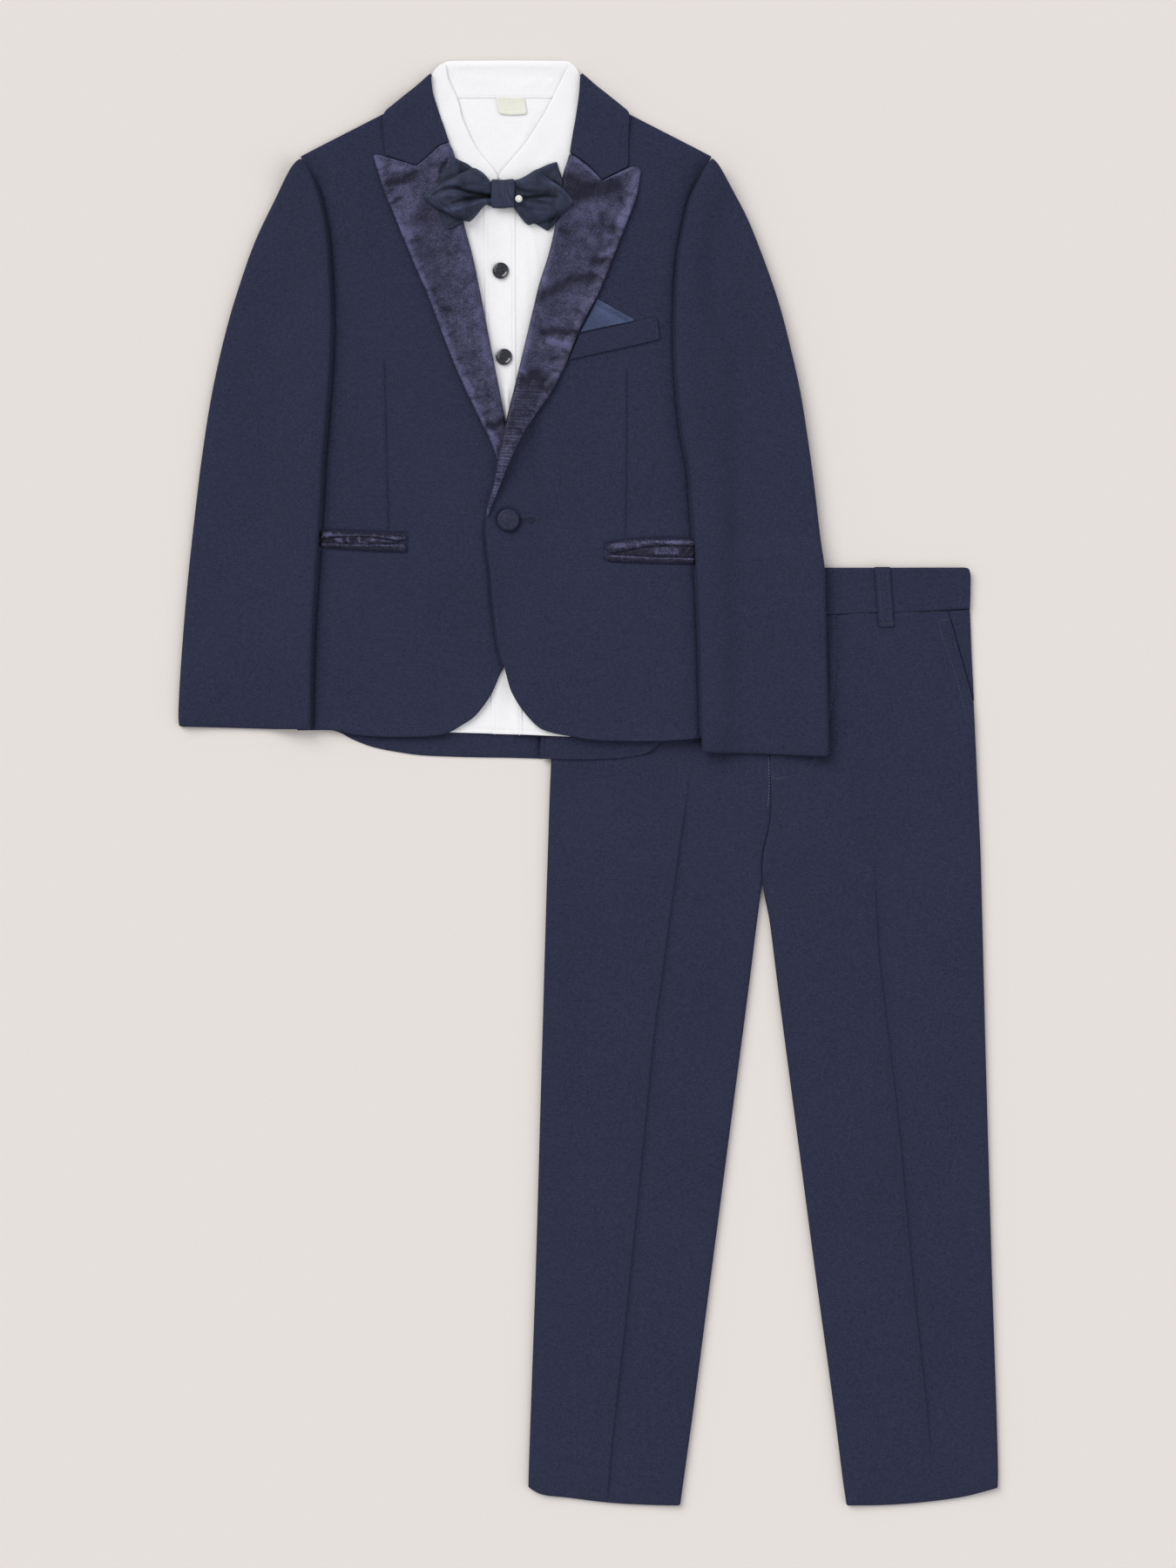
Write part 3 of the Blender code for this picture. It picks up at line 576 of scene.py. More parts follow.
def triangles(places, rimCount):
    # joins the places into triangles, and drops those that bridge a hollow in the outline
    flat, _, faces, source, _, _ = delaunay_2d_cdt(
        [Vector(place) for place in places], [], [list(range(rimCount))], 1, 1e-6, True)
    source = [ids[0] if ids and ids[0] < rimCount else -1 for ids in source]
    sides = {}
    waiting = []
    for number, face in enumerate(faces):
        corners = [source[corner] for corner in face]
        if min(corners) < 0:
            waiting.append(number)
        for one, other in ((0, 1), (1, 2), (2, 0)):
            step = (corners[one] - corners[other]) % rimCount
            if corners[one] < 0 or corners[other] < 0 or step not in (1, rimCount - 1):
                sides.setdefault(frozenset((face[one], face[other])), []).append(number)
    beside = {}
    for pair in sides.values():
        if len(pair) == 2:
            beside.setdefault(pair[0], []).append(pair[1])
            beside.setdefault(pair[1], []).append(pair[0])
    reached = set(waiting)
    while waiting:  # spreads from the inner places without crossing the outline
        for number in beside.get(waiting.pop(), ()):
            if number not in reached:
                reached.add(number)
                waiting.append(number)
    return (np.array([tuple(place) for place in flat]),
            [tuple(face) for number, face in enumerate(faces) if number in reached], source)


class Sheet:
    # one cut piece: its outline, what it rests on and its own folds, seams and turned edges

    def __init__(self, cut):
        self.cut = {**plainCut, **cut}
        self.outline = cutOutline(self.cut["edges"], self.cut["rim"])
        self.closed = np.vstack([self.outline, self.outline[:1]])
        self.folds, self.seams, self.rolls = (
            [(alongLine(line, spans["line"])[0], *(*rest, ends)[:3]) for line, *rest in self.cut[kind]]
            for kind, ends in easing.items())
        self.depths = np.array(edgeRows[:None if self.rolls else 3]) * self.cut["round"]
        reach = self.cut["reach"]
        self.window, self.inside = coverOf(self.outline, 2 * reach + 3)
        under = heights[self.window]
        under = np.where(self.inside, under, under[self.inside].min())
        self.rest = softened(softened(highestNear(under, 2 * reach), reach), reach)

    def inset(self, points):
        return fromLine(points, self.closed)[0]

    def isInside(self, points):
        return readField(self.inside.astype(float), self.window, points) > 0.5

    def lie(self, points, inset):
        # height of the underside and of the cloth's upper side at some places
        cut = self.cut
        lift = np.full(len(points), cut["air"])
        addBells(lift, points, self.folds)
        for line, high, radius, fade in self.rolls:
            near, far, _ = nearLine(points, line, radius + spans["fold"] * fade)
            lift[near] += high * rounded(far / radius) * bell(np.maximum(far - radius, 0.0), fade)
        puff, puffReach = cut["puff"]
        lift += puff * rounded(inset / puffReach)
        if cut["crown"]:
            lift += cut["crown"](points, inset)
        bottom = readField(self.rest, self.window, points) + cut["gap"] + np.maximum(lift, 0.0)
        dent = np.zeros(len(points))
        addBells(dent, points, self.seams)
        curve = rounded(inset / cut["round"])
        top = bottom + cut["thick"] * (0.5 + 0.5 * curve) - np.minimum(dent, 0.75 * cut["thick"]) * curve
        low = bottom + cut["thick"] * (0.5 - 0.5 * curve)
        return np.maximum(low, 0.0), np.maximum(top, 0.02)

    def rows(self):
        # rows of places just inside the outline and beside each seam
        extra = []
        ways = unit(np.roll(self.outline, -1, axis=0) - np.roll(self.outline, 1, axis=0))
        inward = sideways(ways) * np.sign(signedArea(self.outline))
        for step in self.depths:
            row = self.outline + inward * step
            extra.append(row[withinOutline(row, self.outline) & (self.inset(row) > 0.8 * step)])
        sides = []
        narrow = [fold for fold in self.folds if fold[1] < 0.6 * self.cut["grid"]]
        for line, wide, *_ in (*self.seams, *narrow):
            places, ways = alongLine(line, self.cut["rim"] * 1.2)
            sides += [places + sideways(ways) * offset * wide for offset in seamRows]
        if sides:
            sides = np.vstack(sides)
            extra.append(sides[self.isInside(sides) & (self.inset(sides) > self.cut["round"])])
        return np.vstack(extra)

    def filling(self, spacing):
        # an even triangular spread of places over the piece
        low, high = self.outline.min(0), self.outline.max(0)
        places = []
        for number, y in enumerate(np.arange(low[1], high[1], spacing * math.sqrt(3) / 2)):
            x = np.arange(low[0] + (number % 2) * spacing / 2, high[0], spacing)
            places.append(np.column_stack([x, np.full(len(x), y)]))
        places = np.vstack(places)
        places = places[self.isInside(places)]
        return places[self.inset(places) > self.depths[-1] + 0.4 * spacing]

    def shell(self):
        # the closed shell: its upper side, and an underside of wider triangles on the same outline
        rim, rows, grid = self.outline, self.rows(), self.cut["grid"]
        flat, upper, source = triangles(np.vstack([rim, rows, self.filling(grid)]), len(rim))
        inset = self.inset(flat)
        rimIndex = {origin: number for number, origin in enumerate(source) if origin >= 0}
        inset[list(rimIndex.values())] = 0.0
        vertices = [np.column_stack([flat, self.lie(flat, inset)[1]])]
        coarse = self.cut.get("under", grid * 2.0)
        flat, lower, source = triangles(np.vstack([rim, rows, self.filling(coarse)]), len(rim))
        keep = [number for number, origin in enumerate(source) if origin not in rimIndex]
        vertices.append(np.column_stack([flat[keep], self.lie(flat[keep], self.inset(flat[keep]))[0]]))
        place = {number: len(vertices[0]) + count for count, number in enumerate(keep)}
        for number, origin in enumerate(source):
            if origin in rimIndex:
                place[number] = rimIndex[origin]
        lower = [tuple(place[corner] for corner in reversed(face)) for face in lower]
        return np.vstack(vertices), upper + lower

    def paint(self, piece, flat):
        # each line of painted light is a line, its width and how much painted highlight (more) or painted
        # shade (less) it adds
        shine = np.full(len(flat), self.cut["shine"])
        for line, wide, amount in self.cut["tones"]:
            near, far, _ = nearLine(flat, alongLine(line, spans["line"])[0], spans["tone"] * wide)
            shine[near] += amount * bell(far, wide)
        painted = piece.data.attributes.new("shine", "FLOAT", "POINT")
        painted.data.foreach_set("value", np.clip(shine, 0.0, 1.0))

    def raisePile(self):
        rows, columns = np.nonzero(self.inside)
        cells = np.column_stack([cellX[self.window[1]][columns], cellY[self.window[0]][rows]])
        risen = self.cut["puff"][0] or self.cut["crown"]
        depth = self.inset(cells) if risen else np.full(len(cells), 50.0)
        view = heights[self.window]
        view[rows, columns] = np.maximum(view[rows, columns], self.lie(cells, depth)[1])


def bindPiece(piece, finish, nodes=()):
    piece.data.materials.append(finishes[finish])
    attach(piece, "root")
    if nodes:
        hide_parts(*nodes)


def addPiece(name, vertices, faces, finish, nodes=()):
    mesh = bpy.data.meshes.new(name)
    mesh.from_pydata((np.asarray(vertices) * mm).tolist(), [], faces)
    mesh.shade_smooth()
    piece = bpy.data.objects.new(name, mesh)
    bpy.context.collection.objects.link(piece)
    bindPiece(piece, finish, nodes)
    return piece


def laySheet(name, finish, restsOn, held="laid", **cut):
    # cuts a piece, lays it on the pile and adds it to the pile; its node has its name with low lines
    sheet = Sheet(cut)
    vertices, faces = sheet.shell()
    node = "".join("_" + letter.lower() if letter.isupper() else letter for letter in name)
    piece = addPiece(name, vertices, faces, finish, (node,))
    # lines of painted highlight and painted shade, kept on the piece for its material
    if "tones" in cut:
        sheet.paint(piece, vertices[:, :2])
    sheet.raisePile()


# trousers

trousers = {
    "hidden": {"thick": 1.4, "grid": 7, "gap": 0, "rim": 3},
    "front": {"thick": 1.4, "grid": 3.2, "round": 1.2},
    "rightOuter": (
        (-42.8, -517.6), (-42.6, -508), (-37.4, -359), (-33, -205.4), (-28.5, -51.8), (-25.9, 17.3),
        (-18, 124)),
    "rightInner": (
        (68.2, -530.6), (70.7, -512.6), (77.8, -461.4), (91.2, -359), (104.6, -256.6), (118.1, -154.2),
        (124.5, -103), (128.4, -72), (130, -49.3), (133.9, -32.6), (135.4, -16), (134.4, 21.1),
        (134.2, 124)),
    "leftInner": (
        (190.4, -530.6), (187.8, -512.6), (181.4, -461.4), (167.4, -359), (153.9, -256.6), (140.5, -154.2),
        (134.1, -103), (129.4, -72), (130.6, -49.3), (134.5, -32.6), (136, -16), (135, 21.1), (134.8, 123)),
    "leftOuter": (
        (300.9, -517.8), (301.1, -508), (296.6, -359), (292.2, -205.4), (288.3, -51.8), (284.3, 59.5)),
    "rightHem": (
        (-42.6, -518.4), (-34.2, -522.9), (-14.4, -525.6), (16.3, -529.3), (43.8, -530.9), (67, -531.2)),
    "leftHem": ((191.6, -531.2), (218.6, -531), (246.1, -529), (276.8, -524.8), (300.6, -518.4)),
    "mouth": ((264.9, 126.4), (268.5, 114.6), (274.9, 91.5), (280.4, 72.3), (283.9, 59.5)),
    "rightCrease": (
        (75, 24), (73.9, 5.8), (64.6, -61.4), (54.7, -135), (48, -184.3), (41.1, -253.4), (25.8, -405.8),
        (16.6, -489), (13.4, -529.5)),
    "leftCrease": (
        (206, -22), (209, -56.3), (213.4, -128.6), (219.8, -184.3), (226.9, -245.1), (239.4, -378.2),
        (249.3, -469.8), (253, -528)),
    "flySeam": (
        (180.8, 123.5), (182.1, 107.5), (181.8, 91.5), (180.8, 71), (177, 44.2), (166.1, 14.7), (159, 9.2),
        (148.2, 5.1), (138.6, 3.3)),
    "pocketSeam": ((258.2, 119.7), (261.4, 106.2), (271, 78.1), (277.4, 53.8)),
}


def legCrown(points, inset):
    # a leg stands up along its middle, from the knee's height downwards
    return 1.9 * np.clip((10.0 - points[:, 1]) / 90, 0, 1) * rounded(inset / 36)


def makeTrousers():
    t = trousers
    leftSide = (*t["leftOuter"][:-1], (284, 59.5), (282.4, 90), (280.6, 123.6))
    bandEnd = ((280.6, 128.9), (281, 140), (280.8, 154), (279.4, 157.4), (276, 158))
    rightBack = (t["rightHem"], t["rightInner"], ((-18, 124),), t["rightOuter"][::-1])
    for name, finish, edges in (
            ("BackRight", "legRight", rightBack),
            ("BackLeft", "legLeft", (t["leftHem"], leftSide, t["leftInner"][::-1])),
            ("WaistbandBack", "body", (((-18, 124.5), (280.7, 124.3)), bandEnd, ((-16, 158),)))):
        laySheet(f"trouser{name}", finish, [], edges=edges, **t["hidden"])
    outerTurn = ((-43.5, -519), (-38.2, -359), (-33.8, -205.4), (-29.3, -51.8), (-26.7, 17.3), (-18.8, 124))
    laySheet(
        "trouserFrontRight", "legRight", ["trouserBackRight"],
        edges=(t["rightHem"], t["rightInner"], shifted(t["rightOuter"][::-1], -0.8)),
        rolls=((outerTurn, 1.5, 2.6, 16), (t["rightInner"][:8], 1.3, 2.6, 14)),
        folds=(
            (t["rightCrease"], 1.8, 2.1, (0.1, 0.02)),
            (shifted(t["rightCrease"], 6), 4, -0.8, (0.15, 0.1)),
            (((123.2, 20), (123.6, 2), (122.6, -18)), 2, 0.55, (0.2, 0.5)),
            (((107.2, 22), (107.6, 4), (106.4, -10)), 2.4, 0.5, (0.2, 0.5)),
            (((92, 24), (94, -20), (97, -64)), 9, 0.8, (0.2, 0.5)),
            (((20, 20), (8, -60), (-6, -130)), 16, 0.7, (0.2, 0.6)),
            (((100, -190), (84, -290), (70, -380)), 12, 0.5, (0.4, 0.4)),
            (((4, -300), (-8, -400), (-14, -480)), 11, 0.45, (0.4, 0.4)),
        ),
        seams=((shifted(t["rightCrease"], 1.7), 0.7, 0.7, (0.1, 0.02)),
               (((-40, -497.5), (18, -503.8), (71, -506.5)), 0.8, 0.14)),
        crown=legCrown, **t["front"])
    # above the crotch it laps over the right front
    seam = tuple((x - 1, y) if y > -73.0 else (x, y) for x, y in t["leftInner"])
    leftTurn = ((302, -519), (297.4, -359), (293, -205.4), (289.1, -51.8), (286, 40))
    laySheet(
        "trouserFrontLeft", "legLeft", ["trouserBackLeft", "trouserFrontRight"],
        edges=(t["leftHem"], shifted(t["leftOuter"][:-1], 0.8), t["mouth"][::-1], seam[::-1]),
        rolls=((leftTurn, 1.5, 2.6, 16), (t["leftInner"][:8], 1.3, 2.6, 14)),
        folds=(
            (t["leftCrease"], 1.8, 2.1, (0.16, 0.14)),
            (shifted(t["leftCrease"], 6), 4, -0.7, (0.2, 0.2)),
            (((190, 60), (192, -20), (196, -110)), 13, 0.9, (0.3, 0.5)),
            (((150, -5), (154, -60), (162, -140)), 9, 0.6, (0.3, 0.5)),
            (((246, 100), (252, 10), (262, -80)), 14, 0.8, (0.3, 0.5)),
            (t["mouth"], 2.2, 1.1, (0.1, 0.1)),
            (((200, -220), (206, -330), (214, -420)), 12, 0.45, (0.4, 0.4)),
            (((276, -260), (280, -360), (284, -450)), 10, 0.4, (0.4, 0.4)),
            (((178.5, 118), (178, 70), (170, 24), (158, 11), (140, 5.5)), 1.6, 0.3, (0.1, 0.1)),
        ),
        seams=((shifted(t["leftCrease"], 1.7), 0.7, 0.6, (0.16, 0.14)),
               (t["flySeam"], 0.7, 0.35),
               (t["pocketSeam"], 0.7, 0.3),
               (((187.5, -506.5), (240, -505), (298.6, -497.5)), 0.8, 0.14)),
        crown=legCrown, **t["front"])
    laySheet(
        "trouserPocketFacing", "legLeft", ["trouserBackLeft"],
        edges=(shifted(t["mouth"][::-1], 0.4), ((281.2, 128.4),), ((282.5, 95), (284.2, 62))),
        thick=0.9, grid=2, rim=1.4, round=0.5)
    laySheet(
        "trouserWaistbandRight", "body", ["trouserWaistbandBack"],
        edges=(((-18.4, 123.4), (134.2, 123)), ((134.2, 158.3), (-16.4, 158.3))),
        thick=1.4, grid=4, rim=2.4)
    laySheet(
        "trouserWaistbandLeft", "body", ["trouserWaistbandBack"],
        edges=(((134.8, 122.6), (176.3, 123.8), (212.8, 125.2), (225, 125.2), (281.3, 128.3)),
               ((281.6, 140), (281.4, 154.2), (280, 157.8), (276.4, 158.6)), ((134.8, 158.4),)),
        thick=1.7, grid=2.6, rim=1.6, round=1.1,
        rolls=((((281.8, 126), (282.2, 140), (281.8, 158)), 1.2, 2, 8),
               (((134, 159), (282, 159)), 0.9, 2, 8)),
        folds=((((240, 129), (243, 140), (241, 155)), 6, 0.3),
               (((190, 127), (192, 140), (190, 154)), 8, 0.3)),
        seams=((((181, 153.4), (230, 153.6), (279, 153.4)), 0.6, 0.1),))
    laySheet(
        "trouserBeltLoop", "body", ["trouserWaistbandLeft", "trouserFrontLeft"],
        edges=(((214.2, 114.8), (225.4, 114.8)), ((222.3, 158.9), (210.9, 158.9))),
        thick=1.5, grid=1.4, rim=1.2, reach=1, round=0.8,
        folds=((((212.6, 156), (214, 136), (215.9, 117.5)), 1, 0.35, (0.1, 0.1)),
               (((220.7, 156), (222, 136), (223.9, 117.5)), 1, 0.35, (0.1, 0.1))),
        seams=((((214.6, 117.4), (225, 117.6)), 0.5, 0.7),))


# jacket

jacket = {
    "back": {"grid": 6, "under": 7, "rim": 2.4, "thick": 1.2, "reach": 4},
    "front": {"thick": 1.3, "grid": 3, "rim": 1.6, "reach": 4, "round": 1.1},
    "rightArmhole": ((-211, 461), (-201, 432), (-193.4, 395), (-191.5, 345), (-214, 300)),
    "leftArmhole": ((91, 461), (79, 432), (69.4, 390), (67.5, 345), (90, 300)),
    "rightRoll": (
        (-65.5, 236), (-56, 254), (-60.4, 267), (-64.3, 287.4), (-70.7, 319.4), (-77.4, 353.9),
        (-84.2, 386.6), (-90.6, 410.9), (-94.4, 436), (-97, 458.2), (-98.6, 464.4), (-101.4, 470.2)),
    "leftRoll": (
        (-74.6, 195.8), (-73.6, 202.9), (-69.4, 217), (-66.2, 235.5), (-62.4, 253.4), (-58.6, 271.4),
        (-54.7, 287.4), (-47, 319.4), (-39.4, 351.4), (-35.5, 367.4), (-29.3, 386.6), (-23.6, 410.9),
        (-20.4, 430), (-17.8, 448.6), (-15.3, 456), (-13.4, 462.4)),
    "rightHem": (
        (-213.6, 38.8), (-184, 38.4), (-172.5, 35.8), (-153.9, 34.2), (-133.4, 33.9), (-114.9, 34.6),
        (-102.7, 36.8), (-91.8, 42.9), (-84.8, 47.4), (-80.3, 51.8), (-70.7, 65.3), (-64.3, 80),
        (-61.8, 85.1)),
    "leftHem": (
        (-59.2, 77.4), (-56, 67.2), (-46.4, 51.8), (-34.9, 40.3), (-25.9, 37), (-13.8, 34.4), (7.4, 31.4),
        (26.6, 30.7), (52.8, 30.7), (73.3, 32), (89.8, 33.4)),
    "leftEdge": (
        (-74.6, 195.8), (-74.6, 185), (-73.9, 175.4), (-72.6, 165.8), (-70.7, 149.8), (-69.4, 133.8),
        (-66.9, 112), (-64.3, 95.4), (-61.1, 85.1)),
    "backHem": (
        (-213.6, 42), (-184, 37.8), (-173.8, 32.6), (-161, 27.5), (-151.4, 25), (-136.6, 22.4),
        (-124.5, 20.7), (-90.6, 19.2), (-56, 18.6), (-33.6, 18)),
    "backHemLeft": (
        (-34.4, 17.9), (-25.9, 17.6), (-4.8, 17.3), (12.5, 17.6), (26.6, 18.6), (38.1, 20.5), (44.5, 22.4),
        (49, 25.9), (55.4, 31.4), (89.8, 44)),
    "rightNeck": ((-60.4, 489), (-100, 492.5), (-128, 503.5)),
    "leftNeck": ((8, 503.5), (-20, 492.5), (-60, 489)),
}


def makeJacketBacks():
    j = jacket
    laySheet(
        "jacketBackRight", "body", [],
        edges=(j["rightArmhole"], j["backHem"], ((-33.6, 18), (-34.6, 80), (-60.4, 300)),
               j["rightNeck"]),
        gap=0, seams=((((-35.4, 40), (-35.6, 18.6)), 0.7, 0.9),), **j["back"])
    laySheet(
        "jacketBackLeft", "body", ["trouserFrontRight"],
        edges=(j["leftNeck"], ((-60, 300), (-35.4, 80), (-34.7, 18)), j["backHemLeft"],
               j["leftArmhole"][::-1]),
        gap=0.2, seams=((((-31.4, 40), (-31.6, 18.4)), 0.7, 0.9),),
        folds=((((38, 21.5), (46, 26), (54, 33)), 5, 1.6, (0.3, 0.2)),), **j["back"])
    laySheet(
        "jacketCollarBack", "body", [],
        edges=(shifted(j["rightNeck"], 0, 0.4), ((-147.4, 494.2), (-115, 521.2)), ((-60, 522.6),),
               ((-4.4, 521.2), (28.4, 494.2)), shifted(j["leftNeck"], 0, 0.4)),
        grid=5, gap=0, thick=1.2)


def makeRightFront():
    j = jacket
    roll = shifted(j["rightRoll"], -0.8)
    laySheet(
        "jacketFrontRight", "body", ["jacketBackRight", "shirtFrontRight"],
        edges=(j["rightArmhole"], j["rightHem"],
               ((-45, 140), (-42, 190), (-50, 226), (-55, 245)), roll[1:],
               ((-101.6, 470.6), (-118, 486), (-128, 503.5))),
        folds=(
            (((-150, 330), (-149.6, 270), (-147.6, 200)), 5, 0.35, (0.2, 0.3)),
            (((-176, 300), (-180, 240), (-182, 190)), 9, 0.7),
            (((-176, 150), (-180, 100), (-178, 50)), 10, 0.8),
            (((-110, 170), (-118, 120), (-120, 60)), 14, 0.6),
            (((-170, 470), (-172, 430), (-168, 380)), 12, 0.7, (0.3, 0.4)),
            (((-100, 230), (-88, 190), (-84, 130)), 12, 0.5, (0.4, 0.4)),
            (j["rightHem"], 5, 1.7, (0.1, 0.15)),
        ),
        seams=(
            (((-149.4, 314), (-148.2, 278.4), (-146.9, 224.6), (-145.9, 186.5)), 0.6, 1.5, (0.06, 0)),
            (((-196, 185.9), (-161.6, 184.9), (-132, 183.6)), 0.7, 0.95),
            (((-196, 172.6), (-161.6, 170.4), (-132.6, 169.4)), 0.7, 0.95),
            (((-132, 183.6), (-132.6, 169.4)), 0.6, 0.8),
            (shifted(j["leftEdge"], -1.3), 1.1, 0.95, (0.05, 0)),
            (shifted(sleeves["rightInner"][1:], 1.2), 1, 0.95, (0.05, 0)),
        ), **j["front"])


def makeLeftFront():
    j = jacket
    roll = shifted(j["leftRoll"], 0.8)
    # the cloth is drawn in round the button
    (x, y), radius = coveredButton["place"], coveredButton["radius"]
    drawnIn = tuple((x + radius * math.cos(turn), y + radius * math.sin(turn))
                    for turn in np.radians(range(0, 361, 30)))
    laySheet(
        "jacketFrontLeft", "body", ["jacketFrontRight", "jacketBackLeft", "shirtFrontLeft"],
        edges=(((8, 503.5), (-2, 486), (-12.6, 462.4)), roll[1:-1][::-1], j["leftEdge"],
               j["leftHem"], j["leftArmhole"][::-1]),
        folds=(
            (((30, 320), (29.8, 260), (29, 192)), 5, 0.35, (0.2, 0.3)),
            (((56, 300), (58, 250), (62, 200)), 9, 0.7),
            (((66, 150), (70, 100), (68, 50)), 9, 0.8),
            (((-20, 175), (-10, 120), (-6, 60)), 15, 0.6),
            (((54, 460), (52, 420), (48, 375)), 12, 0.7, (0.3, 0.4)),
            (((-45, 225), (-40, 200), (-46, 160)), 10, 0.5, (0.4, 0.4)),
            (j["leftEdge"], 3.6, 2.1, (0.25, 0)),
            (j["leftHem"], 5, 2.3, (0, 0.1)),
        ),
        seams=(
            (((29.3, 307.6), (29.1, 260.5), (28.8, 215.7), (28.2, 180)), 0.6, 1.5, (0.06, 0)),
            (((13.2, 175.8), (29.1, 178.7), (51.5, 180), (78, 179.4)), 0.7, 0.95),
            (((13.4, 163.2), (18, 162.4), (43.8, 161.3), (78.6, 160.3)), 0.7, 0.95),
            (((13.4, 176), (12.4, 169), (13.2, 162.8)), 0.6, 0.8),
            (drawnIn, 1.2, 0.9),
            (shifted(sleeves["leftInner"][1:], -1.2), 1, 0.95, (0.05, 0)),
        ), **j["front"])


lapels = {
    "make": {"thick": 1.3, "grid": 1.4, "under": 4, "rim": 1, "reach": 2, "round": 0.9},
    # puckers along the outer edge: share of its length, reach inwards, depth
    "rightPuckers": (
        (0.05, 9, 0.5), (0.11, 6, 0.3), (0.16, 10, 0.6), (0.22, 7, 0.35), (0.27, 9, 0.5), (0.33, 6, 0.3),
        (0.38, 11, 0.55), (0.44, 7, 0.4), (0.49, 9, 0.5), (0.55, 6, 0.35), (0.6, 10, 0.5), (0.67, 7, 0.4),
        (0.73, 8, 0.5), (0.8, 9, 0.6), (0.87, 11, 0.6), (0.93, 8, 0.5),
    ),
    "leftPuckers": (
        (0.07, 8, 0.4), (0.12, 6, 0.3), (0.19, 10, 0.5), (0.25, 7, 0.4), (0.31, 11, 0.6), (0.36, 7, 0.35),
        (0.42, 9, 0.5), (0.47, 12, 0.6), (0.53, 7, 0.4), (0.58, 9, 0.5), (0.65, 6, 0.35), (0.71, 8, 0.4),
        (0.78, 6, 0.3), (0.85, 5, 0.3), (0.92, 4, 0.25),
    ),
    "rightOuter": (
        (-157.4, 460), (-149.4, 435.2), (-139.5, 410.9), (-128.3, 383.4), (-116.8, 357.1), (-102.1, 318.1),
        (-91.2, 292.5), (-80.3, 269.4), (-71.4, 251.5), (-66.6, 238.8),
    ),
    "leftOuter": (
        (39, 447.6), (36.2, 432), (28.5, 410.9), (18.9, 386.6), (7.4, 358.7), (-4.2, 337.3), (-15.7, 308.8),
        (-26.6, 287.4), (-39, 269.4), (-49.6, 251.5), (-58.6, 231.7), (-65.9, 213.8), (-71.4, 201),
    ),
}


def puckersOf(edge, puckers, inwards, share):
    # short soft dents that run in from an edge, a little slanted
    made = []
    places, ways = alongLine(edge, 1)
    for count, (along, reach, depth) in enumerate(puckers):
        at = int(along * (len(places) - 1))
        across = sideways(ways[at]) * inwards
        slant = ways[at] * (0.25 if count % 2 else -0.2) * reach
        start = places[at] - across
        end = places[at] + across * reach + slant
        made.append(((tuple(start), tuple((start + end) / 2 + slant * 0.2), tuple(end)), 1.3 + 0.06 * reach,
                     -depth * share, (0, 0.5)))
    return tuple(made)


def insetLine(edge, inwards):
    places, ways = alongLine(edge, 6)
    return places + sideways(ways) * inwards


def puckerPaintedLight(puckers):
    # each dent along the edge gets painted shade, with a painted highlight on the ridge above it
    made = []
    for line, _, high, _ in puckers:
        line = np.array(line)
        made += [(line, 1.2, -0.8 * abs(high)), (line + (0.6, 2.4), 1.2, 0.35 * abs(high))]
    return made


